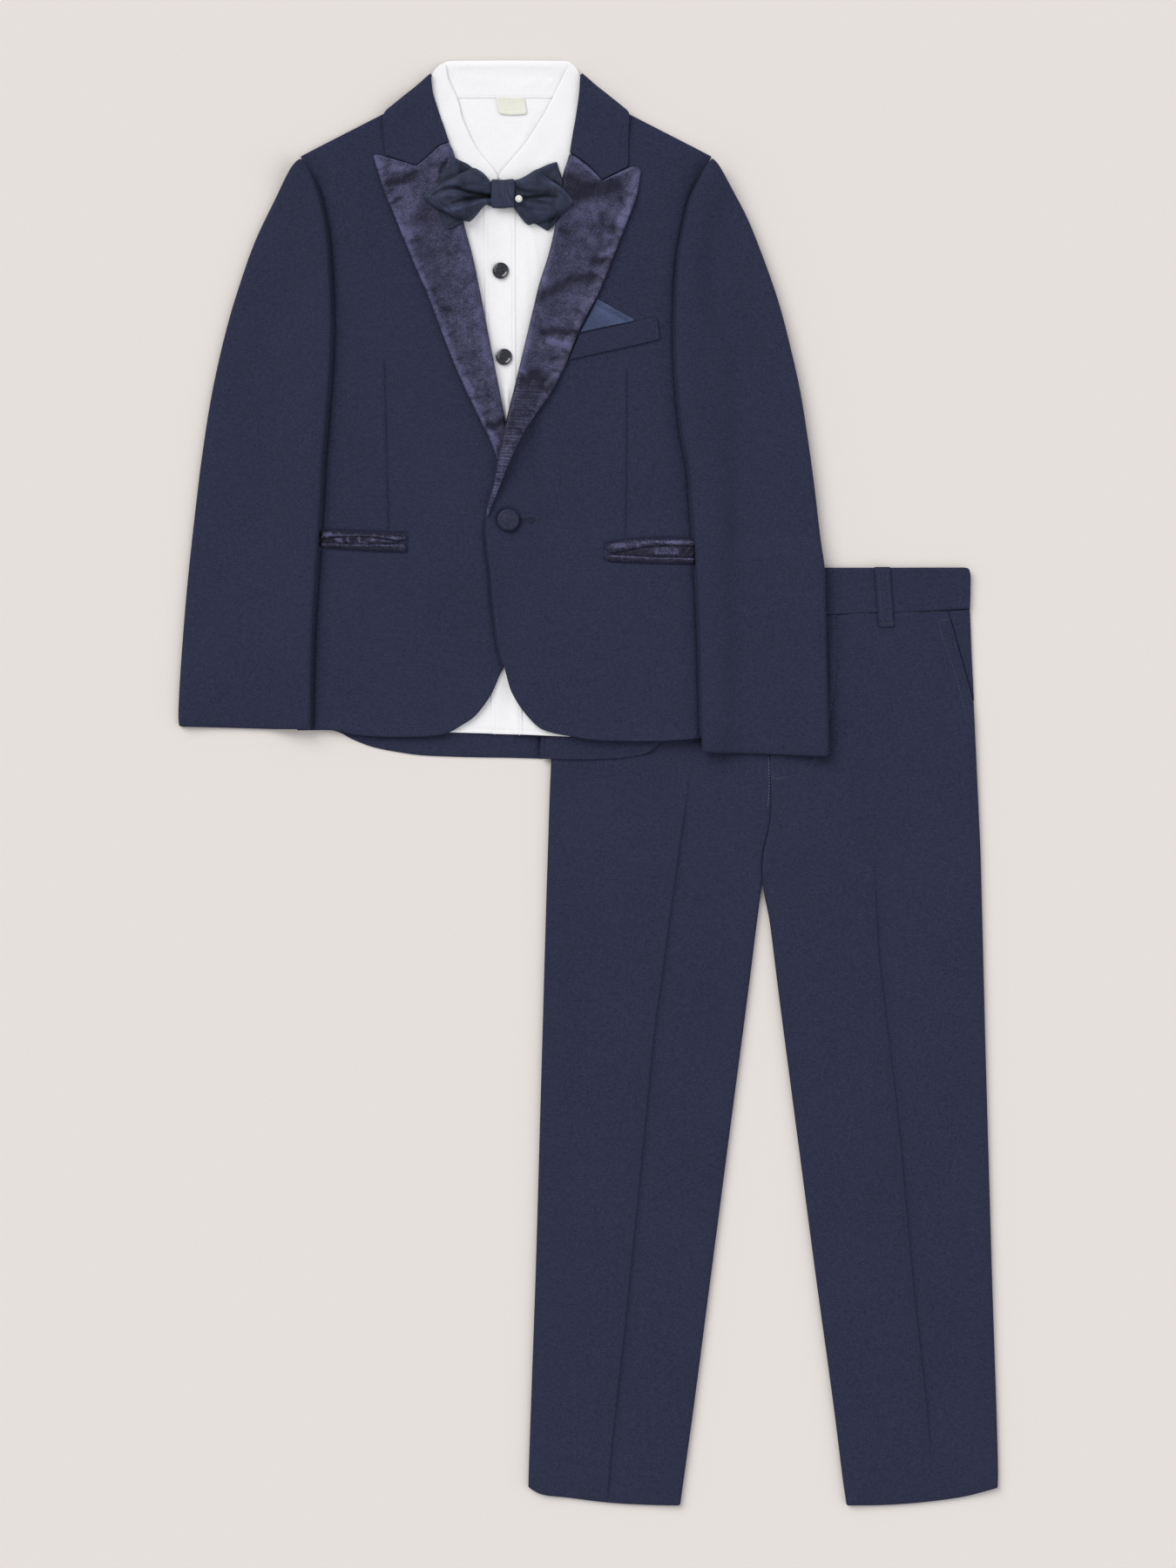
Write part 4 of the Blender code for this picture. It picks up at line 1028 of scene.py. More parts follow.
def makeRightLapel():
    roll = jacket["rightRoll"]
    tip = ((-157.4, 460), (-157, 461.2), (-155.4, 461.8), (-152, 461.4))
    puckers = puckersOf(lapels["rightOuter"], lapels["rightPuckers"], 1, 0.55)
    peakCrease = ((-147, 440.4), (-139, 442.4), (-131, 445.4), (-127, 448.4))
    shortCrease = ((-143.4, 426.4), (-141, 428.6), (-138, 430))
    # painted highlight and painted shade on the satin: line, width and share of painted light
    tones = (
        (((-152, 456), (-142, 453.6), (-132, 451.6)), 3.4, 0.22),
        (peakCrease, 2.6, -0.62),
        (((-133, 443.6), (-128, 445.6)), 3, -0.3),
        (shortCrease, 1.2, -0.6),
        (((-148, 432), (-143, 436)), 1.2, -0.3),
        (((-134, 436), (-130, 424)), 7, 0.22),
        (((-103, 457), (-106.4, 451), (-108, 445), (-109.6, 441.6)), 1.7, -0.7),
        (((-106, 465), (-112, 460)), 3.6, 0.25),
        (((-136, 407), (-130.6, 402.6)), 3, 0.45),
        (((-128.4, 398.4), (-124.6, 399.4)), 2.2, -0.42),
        (((-119, 420), (-112, 418)), 7, -0.22),
        (((-113, 391), (-103, 390)), 4, -0.16),
        (((-106.4, 348.4), (-101, 347)), 2.2, -0.45),
        (((-92, 405), (-84.6, 365), (-76.6, 330), (-69, 298)), 4.6, 0.18),
        (insetLine(lapels["rightOuter"], 2), 1.8, 0.3),
        (((-90.6, 297.6), (-84, 287.6)), 1.7, 0.45),
        (((-77, 288), (-73, 284)), 4, -0.25),
        (((-73, 262.6), (-67, 262), (-61.4, 266.4)), 2.4, -0.7),
        (((-70, 256.4), (-66.4, 251)), 1.6, 0.25),
        (((-66.2, 247), (-65.4, 241)), 1.2, -0.6),
        (((-90, 316), (-84, 314)), 3, -0.2),
        (((-111, 366), (-112.4, 355)), 2.6, -0.22),
        *puckerPaintedLight(puckers),
    )
    laySheet(
        "jacketLapelRight", "lapelRight", ["jacketFrontRight"], held="folded",
        edges=(roll, ((-101.6, 470.4), (-108.5, 468), (-116.8, 460.8), (-125.8, 453.6)),
               ((-139.5, 457.6), (-152, 461.4)), tip[::-1], lapels["rightOuter"]),
        tones=tones, rolls=((roll[1:], 2.3, 3, 16),),
        folds=(
            (lapels["rightOuter"], 5, 1.7, (0.1, 0.15)),
            (((-154, 461), (-139.5, 457.6), (-126, 454)), 3.5, 1, (0.2, 0.2)),
            *puckers,
            (((-92, 440), (-84, 398), (-74, 350), (-63, 290)), 3.2, 0.5, (0.15, 0.15)),
            (((-150, 449), (-140, 449.4), (-129, 452)), 2.6, 0.9),
            (peakCrease, 2, -1, (0.2, 0.3)),
            (shortCrease, 1.3, -0.7, (0.2, 0.5)),
            (((-100, 458), (-103, 450), (-105, 443)), 1.6, 0.9, (0.2, 0.3)),
            (((-103, 457), (-106.4, 451), (-108, 445)), 1.4, -0.8, (0.2, 0.3)),
            (((-128, 432), (-122, 410), (-118, 388)), 4, 0.6, (0.3, 0.4)),
            (((-128.4, 398.4), (-122.6, 399.6)), 2, -0.6, (0.3, 0.4)),
            (((-108, 392), (-98, 372), (-90, 348)), 4.5, 0.6, (0.3, 0.4)),
            (((-108, 349), (-99, 346)), 2, -0.6, (0.3, 0.4)),
            (((-96, 330), (-86, 316), (-80, 300)), 3.4, 0.55, (0.3, 0.4)),
            (((-80, 269), (-70, 266.4), (-63, 269)), 1.8, 0.7),
            (((-73, 262.6), (-67, 262), (-61.4, 265.4)), 1.8, -0.9),
            (((-73, 256), (-68, 253), (-64, 250)), 1.5, 0.6),
        ), **lapels["make"])


def makeLeftLapel():
    roll = jacket["leftRoll"]
    tip = ((39, 447.6), (39.2, 449.8), (38.2, 451.8), (36.4, 453), (34, 453.2), (29.1, 451.6))
    puckers = puckersOf(lapels["leftOuter"], lapels["leftPuckers"], -1, 0.85)
    # painted highlight and painted shade on the satin: line, width and share of painted light
    tones = [
        (((-15, 441.6), (-8, 437.6), (0, 435.6), (9, 436.6), (18, 440)), 5.6, -0.86),
        (((-16, 434), (-8, 429.6)), 3.4, -0.35),
        (((-9.4, 458.6), (0, 451.4), (9, 444.6)), 1.2, 0.5),
        (((12.6, 443), (21, 446.6), (33, 452)), 1.2, 0.5),
        (((12, 441.6), (19, 440), (23, 437)), 1.7, -0.4),
        (((35.6, 449), (33, 438), (30, 425), (26, 411)), 3, 0.34),
        (((24, 429.4), (26, 426.6)), 2.6, -0.4),
        (((-6, 417), (8, 421), (22, 421)), 6, 0.18),
        (((10, 417.6), (11, 410)), 2.6, -0.3),
        (((-20, 406), (-15, 404.6)), 2.4, -0.4),
        (((18, 408), (20, 405)), 2.4, -0.35),
        (((23.4, 414), (24.6, 409.6)), 2.4, 0.45),
        (((14, 403.4), (19.6, 402)), 1.8, 0.45),
        (((-4, 405), (4, 399)), 3.6, 0.28),
        (((10, 388), (18.4, 391.6)), 2, 0.5),
        (((5, 384), (14.4, 382.4)), 2.6, -0.48),
        (((-25, 397), (-29.4, 380), (-33.4, 364)), 2.8, 0.28),
        (((-37, 356), (-28, 360.6), (-18, 366.6), (-8, 370.6), (3, 370)), 3.8, -0.58),
        (((-22, 358), (-10, 357.4), (2, 355.6)), 2.6, 0.14),
        (((-33, 331), (-24, 332.4), (-14, 331.6), (-7, 331)), 2.2, -0.66),
        (((-28, 324.4), (-21, 322.8), (-14, 320.6)), 2.3, 0.78),
        (((-35, 322), (-33, 320)), 1.8, 0.3),
        (((-43, 332), (-46, 318), (-48.6, 304)), 3, 0.26),
        (((-48.6, 303), (-45.6, 301)), 1.6, 0.45),
        (((-25, 311.4), (-17.6, 311)), 2, -0.35),
        (((-46, 298), (-39, 301), (-33, 293), (-28, 292)), 4, -0.46),
        (((-27.6, 303.6), (-23.6, 299.6)), 2, 0.32),
        (((-60, 240), (-67, 218), (-72, 200)), 4.5, 0.22),
        *puckerPaintedLight(puckers),
    ]
    ribs = []
    for count, y in enumerate(np.arange(203, 298, 2.3)):  # fine ribs across its narrow end
        left = -73.0 + (y - 203) * 0.21
        rib = ((left, y + 0.6), (left + 5.0 + (y - 203) * 0.19, y - 0.4 + (count % 3) * 0.4))
        ribs.append((rib, 0.8, 0.22 + 0.06 * (count % 2), (0.1, 0.2)))
        # painted shade just below each rib
        tones.append((np.array(rib) - (0, 1.1), 0.75, -0.32 - 0.1 * (count % 2)))
    laySheet(
        "jacketLapelLeft", "lapelLeft", ["jacketFrontLeft"], held="folded",
        edges=(roll[::-1], ((-74.2, 194.6), (-72.4, 197.6)), lapels["leftOuter"][::-1], tip,
               ((20.8, 447.5), (10.8, 442.8)), ((1.6, 452.4), (-7.4, 459), (-13.4, 462.4))),
        tones=tones, rolls=((roll[2:], 2.3, 3, 16),),
        folds=(
            (lapels["leftOuter"], 5, 1.7, (0.1, 0.15)),
            (((36, 451.6), (22, 447.6), (12, 443.2)), 3.5, 1, (0.2, 0.2)),
            *puckers, *ribs,
            (((-14, 446), (-20, 410), (-31, 366), (-47, 300)), 3.2, 0.5, (0.15, 0.2)),
            (((-12, 440), (0, 435), (10, 436.4), (20, 439)), 3.4, -1.1, (0.2, 0.3)),
            (((-12, 424), (0, 424), (14, 426)), 4.4, 0.8, (0.3, 0.4)),
            (((22, 408), (8, 412), (-6, 408)), 3.6, 0.5, (0.3, 0.4)),
            (((5, 384), (15, 382)), 2.2, -0.7, (0.3, 0.2)),
            (((6, 379), (-6, 379.6), (-22, 373)), 2.8, 0.9, (0.2, 0.4)),
            (((3, 370), (-8, 370.6), (-18, 366.6), (-30, 359.6)), 2.6, -1, (0.2, 0.3)),
            (((-8, 338), (-22, 338), (-34, 335)), 2.4, 0.6, (0.2, 0.4)),
            (((-8, 331.4), (-20, 332.2), (-32, 331)), 1.8, -0.9, (0.2, 0.3)),
            (((-12, 320), (-21, 323.4), (-30, 325)), 2.2, 0.9, (0.2, 0.3)),
            (((-16, 311), (-28, 311), (-38, 305)), 2, -0.6, (0.2, 0.4)),
            (((-24, 303), (-34, 304), (-44, 303)), 2, 0.6, (0.2, 0.4)),
            (((-28, 294), (-36, 296), (-46, 296)), 2.4, -0.6, (0.2, 0.4)),
        ), **lapels["make"])


collar = {"thick": 1.4, "grid": 2.2, "rim": 1.2, "reach": 3, "round": 1}


def makeCollar():
    laySheet(
        "jacketCollarRight", "collarRight", ["jacketCollarBack", "jacketFrontRight"], held="folded",
        edges=(((-115, 521.8), (-148, 494.6)),
               ((-149.4, 492.4), (-150.2, 489), (-149.9, 473), (-149, 462.8)),
               ((-148.2, 461.4), (-140, 458.4), (-125.8, 454)),
               ((-116.8, 461.3), (-108.5, 468.5), (-101.6, 471)),
               ((-104, 478), (-106, 484), (-108.2, 490), (-110.4, 497), (-113, 505), (-114.1, 511),
                (-114.6, 516))),
        rolls=((((-114, 523), (-150, 493.6)), 1.8, 2.6, 12),
               (((-101.6, 471), (-108.2, 490), (-113, 505), (-114.6, 518)), 0.9, 2, 10)),
        folds=((((-110, 512), (-116, 494), (-112, 476)), 3.5, 0.5),
               (((-140, 492), (-142, 478), (-140, 466)), 6, 0.4),
               (((-126, 508), (-130, 490)), 6, 0.35)), **collar)
    laySheet(
        "jacketCollarLeft", "collarLeft", ["jacketCollarBack", "jacketFrontLeft"], held="folded",
        edges=(((29, 494.6), (-4.2, 521.8)),
               ((-5.6, 517.8), (-6.2, 507.5), (-7.6, 497.3), (-9.2, 487), (-11, 476.8), (-13.2, 463.2)),
               ((-7.4, 459.9), (1.6, 453.3), (10.7, 443.6)), ((20.6, 448.3), (29.4, 452.9)),
               ((30.2, 457), (30, 473), (30.7, 489.2), (30.4, 492.6))),
        rolls=((((-5.2, 523), (31, 493.6)), 1.8, 2.6, 12),
               (((-13.2, 463.2), (-9.2, 487), (-7.6, 497.3), (-5.6, 517.8)), 0.9, 2, 10)),
        folds=((((-8, 510), (-3, 494), (-6, 476)), 3.5, 0.5),
               (((20, 492), (22, 478), (20, 464)), 6, 0.4),
               (((6, 508), (8, 488)), 6, 0.35)), **collar)


sleeves = {
    "under": {"thick": 1.1, "grid": 5, "under": 7, "rim": 2.2, "reach": 4},
    "top": {"thick": 1.3, "grid": 2.8, "rim": 1.6, "reach": 4, "round": 1.2, "puff": (2, 26)},
    "rightOuter": (
        (-300.4, 42), (-301, 47), (-300.6, 63.4), (-298.6, 95.4), (-294.7, 143.4), (-289.6, 191.4),
        (-283.8, 239.4), (-276.2, 287.4), (-265.3, 335.4), (-255.7, 367.4), (-244.2, 399.4),
        (-228.8, 431.4), (-220.5, 447.4), (-216.4, 453.6), (-212.6, 457.4), (-210.2, 458.4)),
    "rightInner": (
        (-210.2, 458.4), (-205.4, 451.8), (-201.3, 444.2), (-196.2, 428.8), (-191.7, 407.7),
        (-189.8, 389.1), (-188.5, 365.4), (-187.8, 345), (-188, 320.6), (-189.3, 295), (-190.7, 278.4),
        (-191.8, 263.7), (-193.6, 242.6), (-195.5, 206.1), (-198.4, 162.6), (-201.6, 111.4), (-202.9, 59.5),
        (-203.2, 39.4)),
    "rightCuff": ((-203.2, 39.4), (-230, 39.7), (-262, 40.6), (-297.4, 41.4)),
    "leftInner": (
        (91.8, 458.9), (85.8, 451.2), (80.7, 441), (75.5, 429.4), (72, 415.4), (68.8, 400), (66.2, 382.7),
        (64.8, 362.2), (64.1, 339.8), (64.1, 322.6), (64.8, 300.8), (66.6, 280.3), (68.8, 259.2),
        (71.7, 242.6), (74.2, 229.8), (75.8, 206.1), (78.1, 178.6), (79.3, 158.1), (80.8, 127.4),
        (81.9, 97.3), (82.6, 67.8), (83.1, 46.1), (83.7, 24)),
    "leftCuff": ((83.7, 22.6), (95, 22.2), (110, 21.9), (133.4, 21.2), (153.9, 20.2), (175.6, 19.5)),
    "leftOuter": (
        (177.5, 20.4), (177.3, 39), (176.6, 67.8), (175.7, 97.3), (175, 127.4), (174.1, 158.1),
        (171.8, 175.4), (169.9, 191.4), (166.1, 223.4), (161.6, 255.4), (156.5, 287.4), (149.4, 319.4),
        (141.1, 351.4), (130.2, 383.4), (117.4, 415.4), (109.1, 431.4), (100.2, 447.4), (95.8, 454.4),
        (91.8, 458.9)),
}


def makeSleeves():
    s = sleeves
    laySheet(
        "jacketSleeveRightUnder", "sleeveRight", ["jacketFrontRight"],
        edges=(shifted(s["rightOuter"][:-1], 0.9), shifted(s["rightInner"][1:], -0.9),
               s["rightCuff"][1:-1]),
        rolls=((shifted(s["rightInner"], 1.6), 1.3, 2.6, 14),), **s["under"])
    laySheet(
        "jacketSleeveRightTop", "sleeveRight", ["jacketSleeveRightUnder"],
        edges=(s["rightOuter"], s["rightInner"], s["rightCuff"]),
        rolls=((s["rightOuter"], 1.8, 2.5, 16), (s["rightInner"], 3.2, 2.6, 18)),
        folds=(
            (((-206, 440), (-199, 415), (-196.5, 380)), 3, 0.45),
            (((-222, 420), (-228, 380), (-232, 330)), 12, 0.7, (0.3, 0.4)),
            (((-202, 300), (-214, 262), (-228, 236)), 9, 0.7, (0.2, 0.5)),
            (((-200, 250), (-212, 228), (-222, 190)), 8, 0.6, (0.2, 0.5)),
            (((-262, 270), (-250, 230), (-246, 180)), 13, 0.6, (0.4, 0.4)),
            (((-270, 140), (-266, 100), (-268, 60)), 12, 0.6),
            (((-222, 130), (-226, 90), (-224, 55)), 9, 0.5),
        ),
        seams=((((-203, 66), (-250, 67.4), (-300, 69)), 0.8, 0.12),), **s["top"])
    laySheet(
        "jacketSleeveLeftUnder", "sleeveLeft", ["jacketFrontLeft", "trouserFrontLeft", "trouserFrontRight"],
        edges=(shifted(s["leftInner"][1:], 0.9), s["leftCuff"][1:-1], shifted(s["leftOuter"][:-1], -0.9)),
        rolls=((shifted(s["leftOuter"], 2.2), 2.6, 3.2, 16),
               (shifted(s["leftInner"], -1.6), 1.2, 2.6, 14)), **s["under"])
    laySheet(
        "jacketSleeveLeftTop", "sleeveLeft", ["jacketSleeveLeftUnder"],
        edges=(s["leftInner"], s["leftCuff"], s["leftOuter"]),
        rolls=((s["leftInner"], 2.6, 2.6, 18), (s["leftOuter"], 3.8, 2.8, 20)),
        folds=(
            (((86, 440), (78, 415), (73, 380)), 3, 0.45),
            (((104, 420), (108, 380), (110, 330)), 12, 0.7, (0.3, 0.4)),
            (((74, 300), (86, 262), (102, 240)), 9, 0.7, (0.2, 0.5)),
            (((80, 236), (92, 210), (104, 176)), 8, 0.6, (0.2, 0.5)),
            (((142, 270), (130, 230), (128, 180)), 13, 0.6, (0.4, 0.4)),
            (((148, 130), (144, 90), (146, 40)), 12, 0.6),
            (((104, 130), (100, 90), (104, 36)), 9, 0.5),
            (((86, 44), (92, 36), (96, 26)), 3, 0.6, (0.3, 0.2)),
        ),
        seams=((((83, 49), (130, 47.4), (177, 46.4)), 0.8, 0.12),), **s["top"])


weltSeam = ((49.6, 339.6), (50.8, 328.4))


def makeChestPocket():
    laySheet(
        "pocketSquare", "square", ["jacketFrontLeft"], held="folded",
        edges=(((-5.6, 331.4), (34, 339.6)), ((33.6, 341), (20, 348.8), (7.4, 355.8)),
               ((5.2, 352), (-0.4, 340))),
        thick=0.9, grid=1.2, rim=0.9, reach=1, round=0.6, tones=(),
        folds=((((6, 353.2), (19, 346.2), (31, 340)), 0.9, 0.45, (0.05, 0.05)),
               (((4, 346), (12, 342), (18, 336.5)), 2, 0.3)),
        seams=((((5.2, 351.4), (18.2, 344.6), (29, 339.2)), 0.5, 0.4),))
    laySheet(
        "jacketChestWelt", "body", ["jacketFrontLeft", "pocketSquare"],
        edges=(((-6.2, 329.4), (10.6, 333.4), (30.1, 337.9), (48, 342.3)),
               ((50.2, 342.1), (51.5, 340), (53, 327)),
               ((52.4, 325.8), (30.1, 320.6), (4.2, 314.9), (-14.6, 310.6))),
        thick=1.4, grid=1.6, rim=1.1, reach=1, round=0.8,
        folds=((((10, 331), (12, 318)), 5, 0.2, (0.2, 0.2)),),
        seams=((weltSeam, 0.45, 0.45),))


hipPockets = {
    "make": {"grid": 0.9, "rim": 0.8, "reach": 1, "round": 0.7, "gap": 0.05},
    # each strip's upper and lower edge from left to right, its painted highlights and painted shade as
    # line, width and share, and its short soft ridges as place, width and height
    "rightUpperJet": {
        "edges": (
            ((-196.2, 185.1), (-161.6, 184), (-132.9, 182.8)),
            ((-132.9, 178.4), (-140, 178.2), (-151, 180.4), (-166, 181.6), (-180, 181.2), (-196.4, 179.6)),
        ),
        "tones": (
            (((-190, 182.6), (-180, 182), (-166, 182.2), (-152, 181), (-140, 179.4)), 0.6, 0.5),
            (((-180, 184), (-150, 183.3), (-136, 181.9)), 0.9, -0.3),
            (((-193, 182.6), (-189.6, 182.6)), 1.8, 0.5),
            (((-144, 180.4), (-135, 180)), 1.1, 0.4),
        ),
        "ridges": ((-191.2, 2, 0.5), (-183, 1.2, 0.2), (-139, 2.4, 0.4)),
    },
    "rightBag": {
        "edges": (
            ((-196.2, 180.6), (-180, 182.2), (-166, 182.6), (-151, 181.4), (-139, 178.6)),
            ((-138.6, 176.6), (-152, 175.4), (-170, 175.4), (-196.2, 176.6)),
        ),
        "tones": (
            (((-184, 179), (-181, 178)), 1.6, 0.6),
            (((-176.4, 179.6), (-175.4, 177)), 0.9, 0.55),
            (((-168, 179.8), (-167, 177)), 1, 0.5),
            (((-160, 178.8), (-156.4, 178.6)), 1.2, 0.4),
            (((-154, 178.8), (-145, 177.6)), 0.8, 0.5),
            (((-164.6, 177), (-162.4, 176.6)), 0.8, 0.4),
            (((-156, 176.3), (-139, 176.3)), 0.7, -0.5),
            (((-178.8, 179.4), (-179, 176.8)), 0.8, -0.4),
            (((-172.4, 179.4), (-172, 177)), 1.2, -0.4),
        ),
        "ridges": ((-182.4, 2.6, 0.8), (-175.8, 1.6, 1.1), (-167.6, 1.6, 1.1), (-158, 2.4, 0.8),
                   (-148, 2.2, 0.4)),
    },
    "rightLowerJet": {
        "edges": (
            ((-196.4, 177.2), (-172, 175.8), (-150, 175.4), (-133, 175.8)),
            ((-133.3, 170.2), (-161.6, 171.2), (-196.6, 173.6)),
        ),
        "tones": (
            (((-195, 175.6), (-175, 174.9), (-150, 174.8), (-135, 174.8)), 0.6, 0.45),
            (((-190, 173.4), (-160, 172.4), (-145, 172.2)), 0.9, -0.2),
            (((-138, 173.6), (-135.4, 173.4)), 1.3, 0.3),
        ),
        "ridges": (),
    },
    "leftUpperJet": {
        "edges": (
            ((14.6, 174.6), (18, 176), (29.1, 177.9), (51.5, 179.2), (78.4, 178.6)),
            ((78.6, 174), (57.3, 174.6), (46, 174), (32, 171.8), (16, 169.4), (14, 171.6)),
        ),
        "tones": (
            (((19, 174.4), (30, 174.8), (38, 175.2)), 1.6, 0.42),
            (((40, 176.4), (50, 177.4)), 1.1, 0.5),
            (((51, 177.2), (57, 176.8)), 0.9, 0.5),
            (((59, 177), (68, 176.8)), 1.3, 0.75),
            (((70, 176.8), (77, 176.8)), 1.1, 0.45),
        ),
        "ridges": ((26, 3, 0.4), (45, 2.4, 0.5), (54, 1.6, 0.6), (64, 3.2, 0.7), (73.6, 1.8, 0.5)),
    },
    # its dark lines are painted shade in the pocket's opening, its light ones painted glints on the
    # crumpled satin
    "leftBag": {
        "edges": (
            ((30, 173.2), (44, 175.2), (57.3, 175.6), (78.6, 175.2)),
            ((78.6, 164.6), (60, 165.2), (42, 165.6), (30, 166.4), (16.4, 168.2)),
        ),
        "tones": (
            (((18, 168.8), (28, 169.2), (36, 169)), 1.3, -0.8),
            (((34, 169), (44, 167.6)), 1.5, -0.8),
            (((44, 167.2), (60, 166.6), (78, 166.2)), 0.8, -0.8),
            (((72, 169.4), (78, 169)), 2.6, -0.5),
            (((48, 171.6), (66, 171.4)), 2, 0.2),
            *((((x, 169.2), (x + 0.6, 168)), 0.7, 0.5) for x in (50.4, 52.8, 55, 57.6, 60.8, 63, 65.8)),
        ),
        "ridges": ((51.4, 1, 0.6), (54.6, 1, 0.7), (57.6, 1, 0.6), (61, 1.1, 0.7), (65.4, 1.2, 0.6)),
    },
    "leftLowerJet": {
        "edges": (
            ((14, 166.6), (18, 167.3), (43.8, 165.9), (78.6, 165)),
            ((78.8, 161), (43.8, 162), (18, 163), (14.2, 163.8), (13.2, 165.2)),
        ),
        "tones": (
            (((16, 167), (30, 166.3), (60, 165.2), (78, 164.6)), 0.7, 0.5),
            (((16, 164.4), (44, 163), (78, 162)), 0.8, -0.15),
        ),
        "ridges": (),
    },
}


def makeHipPockets():
    # each side's even share of painted light; lower makes its strips darker
    for side, shine, middle in (("Right", 0.14, 178.4), ("Left", 0.23, 169.6)):
        for part, thick, up in (("Bag", 0.4, 0), ("UpperJet", 1.3, 4.6), ("LowerJet", 1.3, 0)):
            strip = hipPockets[side.lower() + part]
            y = middle + up
            ridge = ((0, y + 2.8), (0.8, y), (-0.4, y - 2.8))
            laySheet(
                f"jacketPocket{side}{part}", "pocketSatin", [f"jacketFront{side}"], held="folded",
                edges=strip["edges"], thick=thick, tones=strip["tones"], shine=shine,
                folds=[(shifted(ridge, x), wide, high, (0.1, 0.1)) for x, wide, high in strip["ridges"]],
                **hipPockets["make"])


# shirt

shirt = {
    "front": {"thick": 0.8, "grid": 2.4, "under": 7, "rim": 1.6, "reach": 3, "round": 0.4},
    "leaf": {"thick": 0.5, "grid": 1.6, "rim": 1.1, "reach": 4, "round": 0.35, "gap": 0.05},
    "rightArm": ((-195, 457), (-180, 400), (-182, 345), (-206, 300)),
    "leftArm": ((76, 457), (60, 400), (58, 345), (82, 300)),
    "neck": ((-12, 504), (-34, 508), (-84, 508), (-106, 504)),
    "hemRight": ((-71.2, 36.4), (-103, 37.4), (-130, 38.4), (-150, 40), (-172, 44), (-196, 48)),
    "hemLeft": ((78, 33), (40, 33.4), (-12, 34.2), (-47, 35.6)),
    "stripRight": ((-76.2, 445.5), (-76, 400), (-74.8, 300), (-72, 120), (-70.5, 36.2)),
    "stripLeft": ((-47.5, 35.6), (-50, 120), (-52.6, 283), (-53.2, 400), (-53.5, 445.5)),
    "topEdge": (
        (-114.2, 514), (-113, 522.6), (-110, 526.2), (-107, 529), (-103.6, 530.8), (-98, 531.3),
        (-80, 531.5), (-60, 531.6), (-36, 531.5), (-19, 531.3), (-13.4, 530.8), (-10.8, 528.6), (-8.2, 526),
        (-6.8, 523), (-5.8, 514)),
    "bandSeam": ((-103, 505.2), (-60, 505.6), (-15, 505.2)),
}


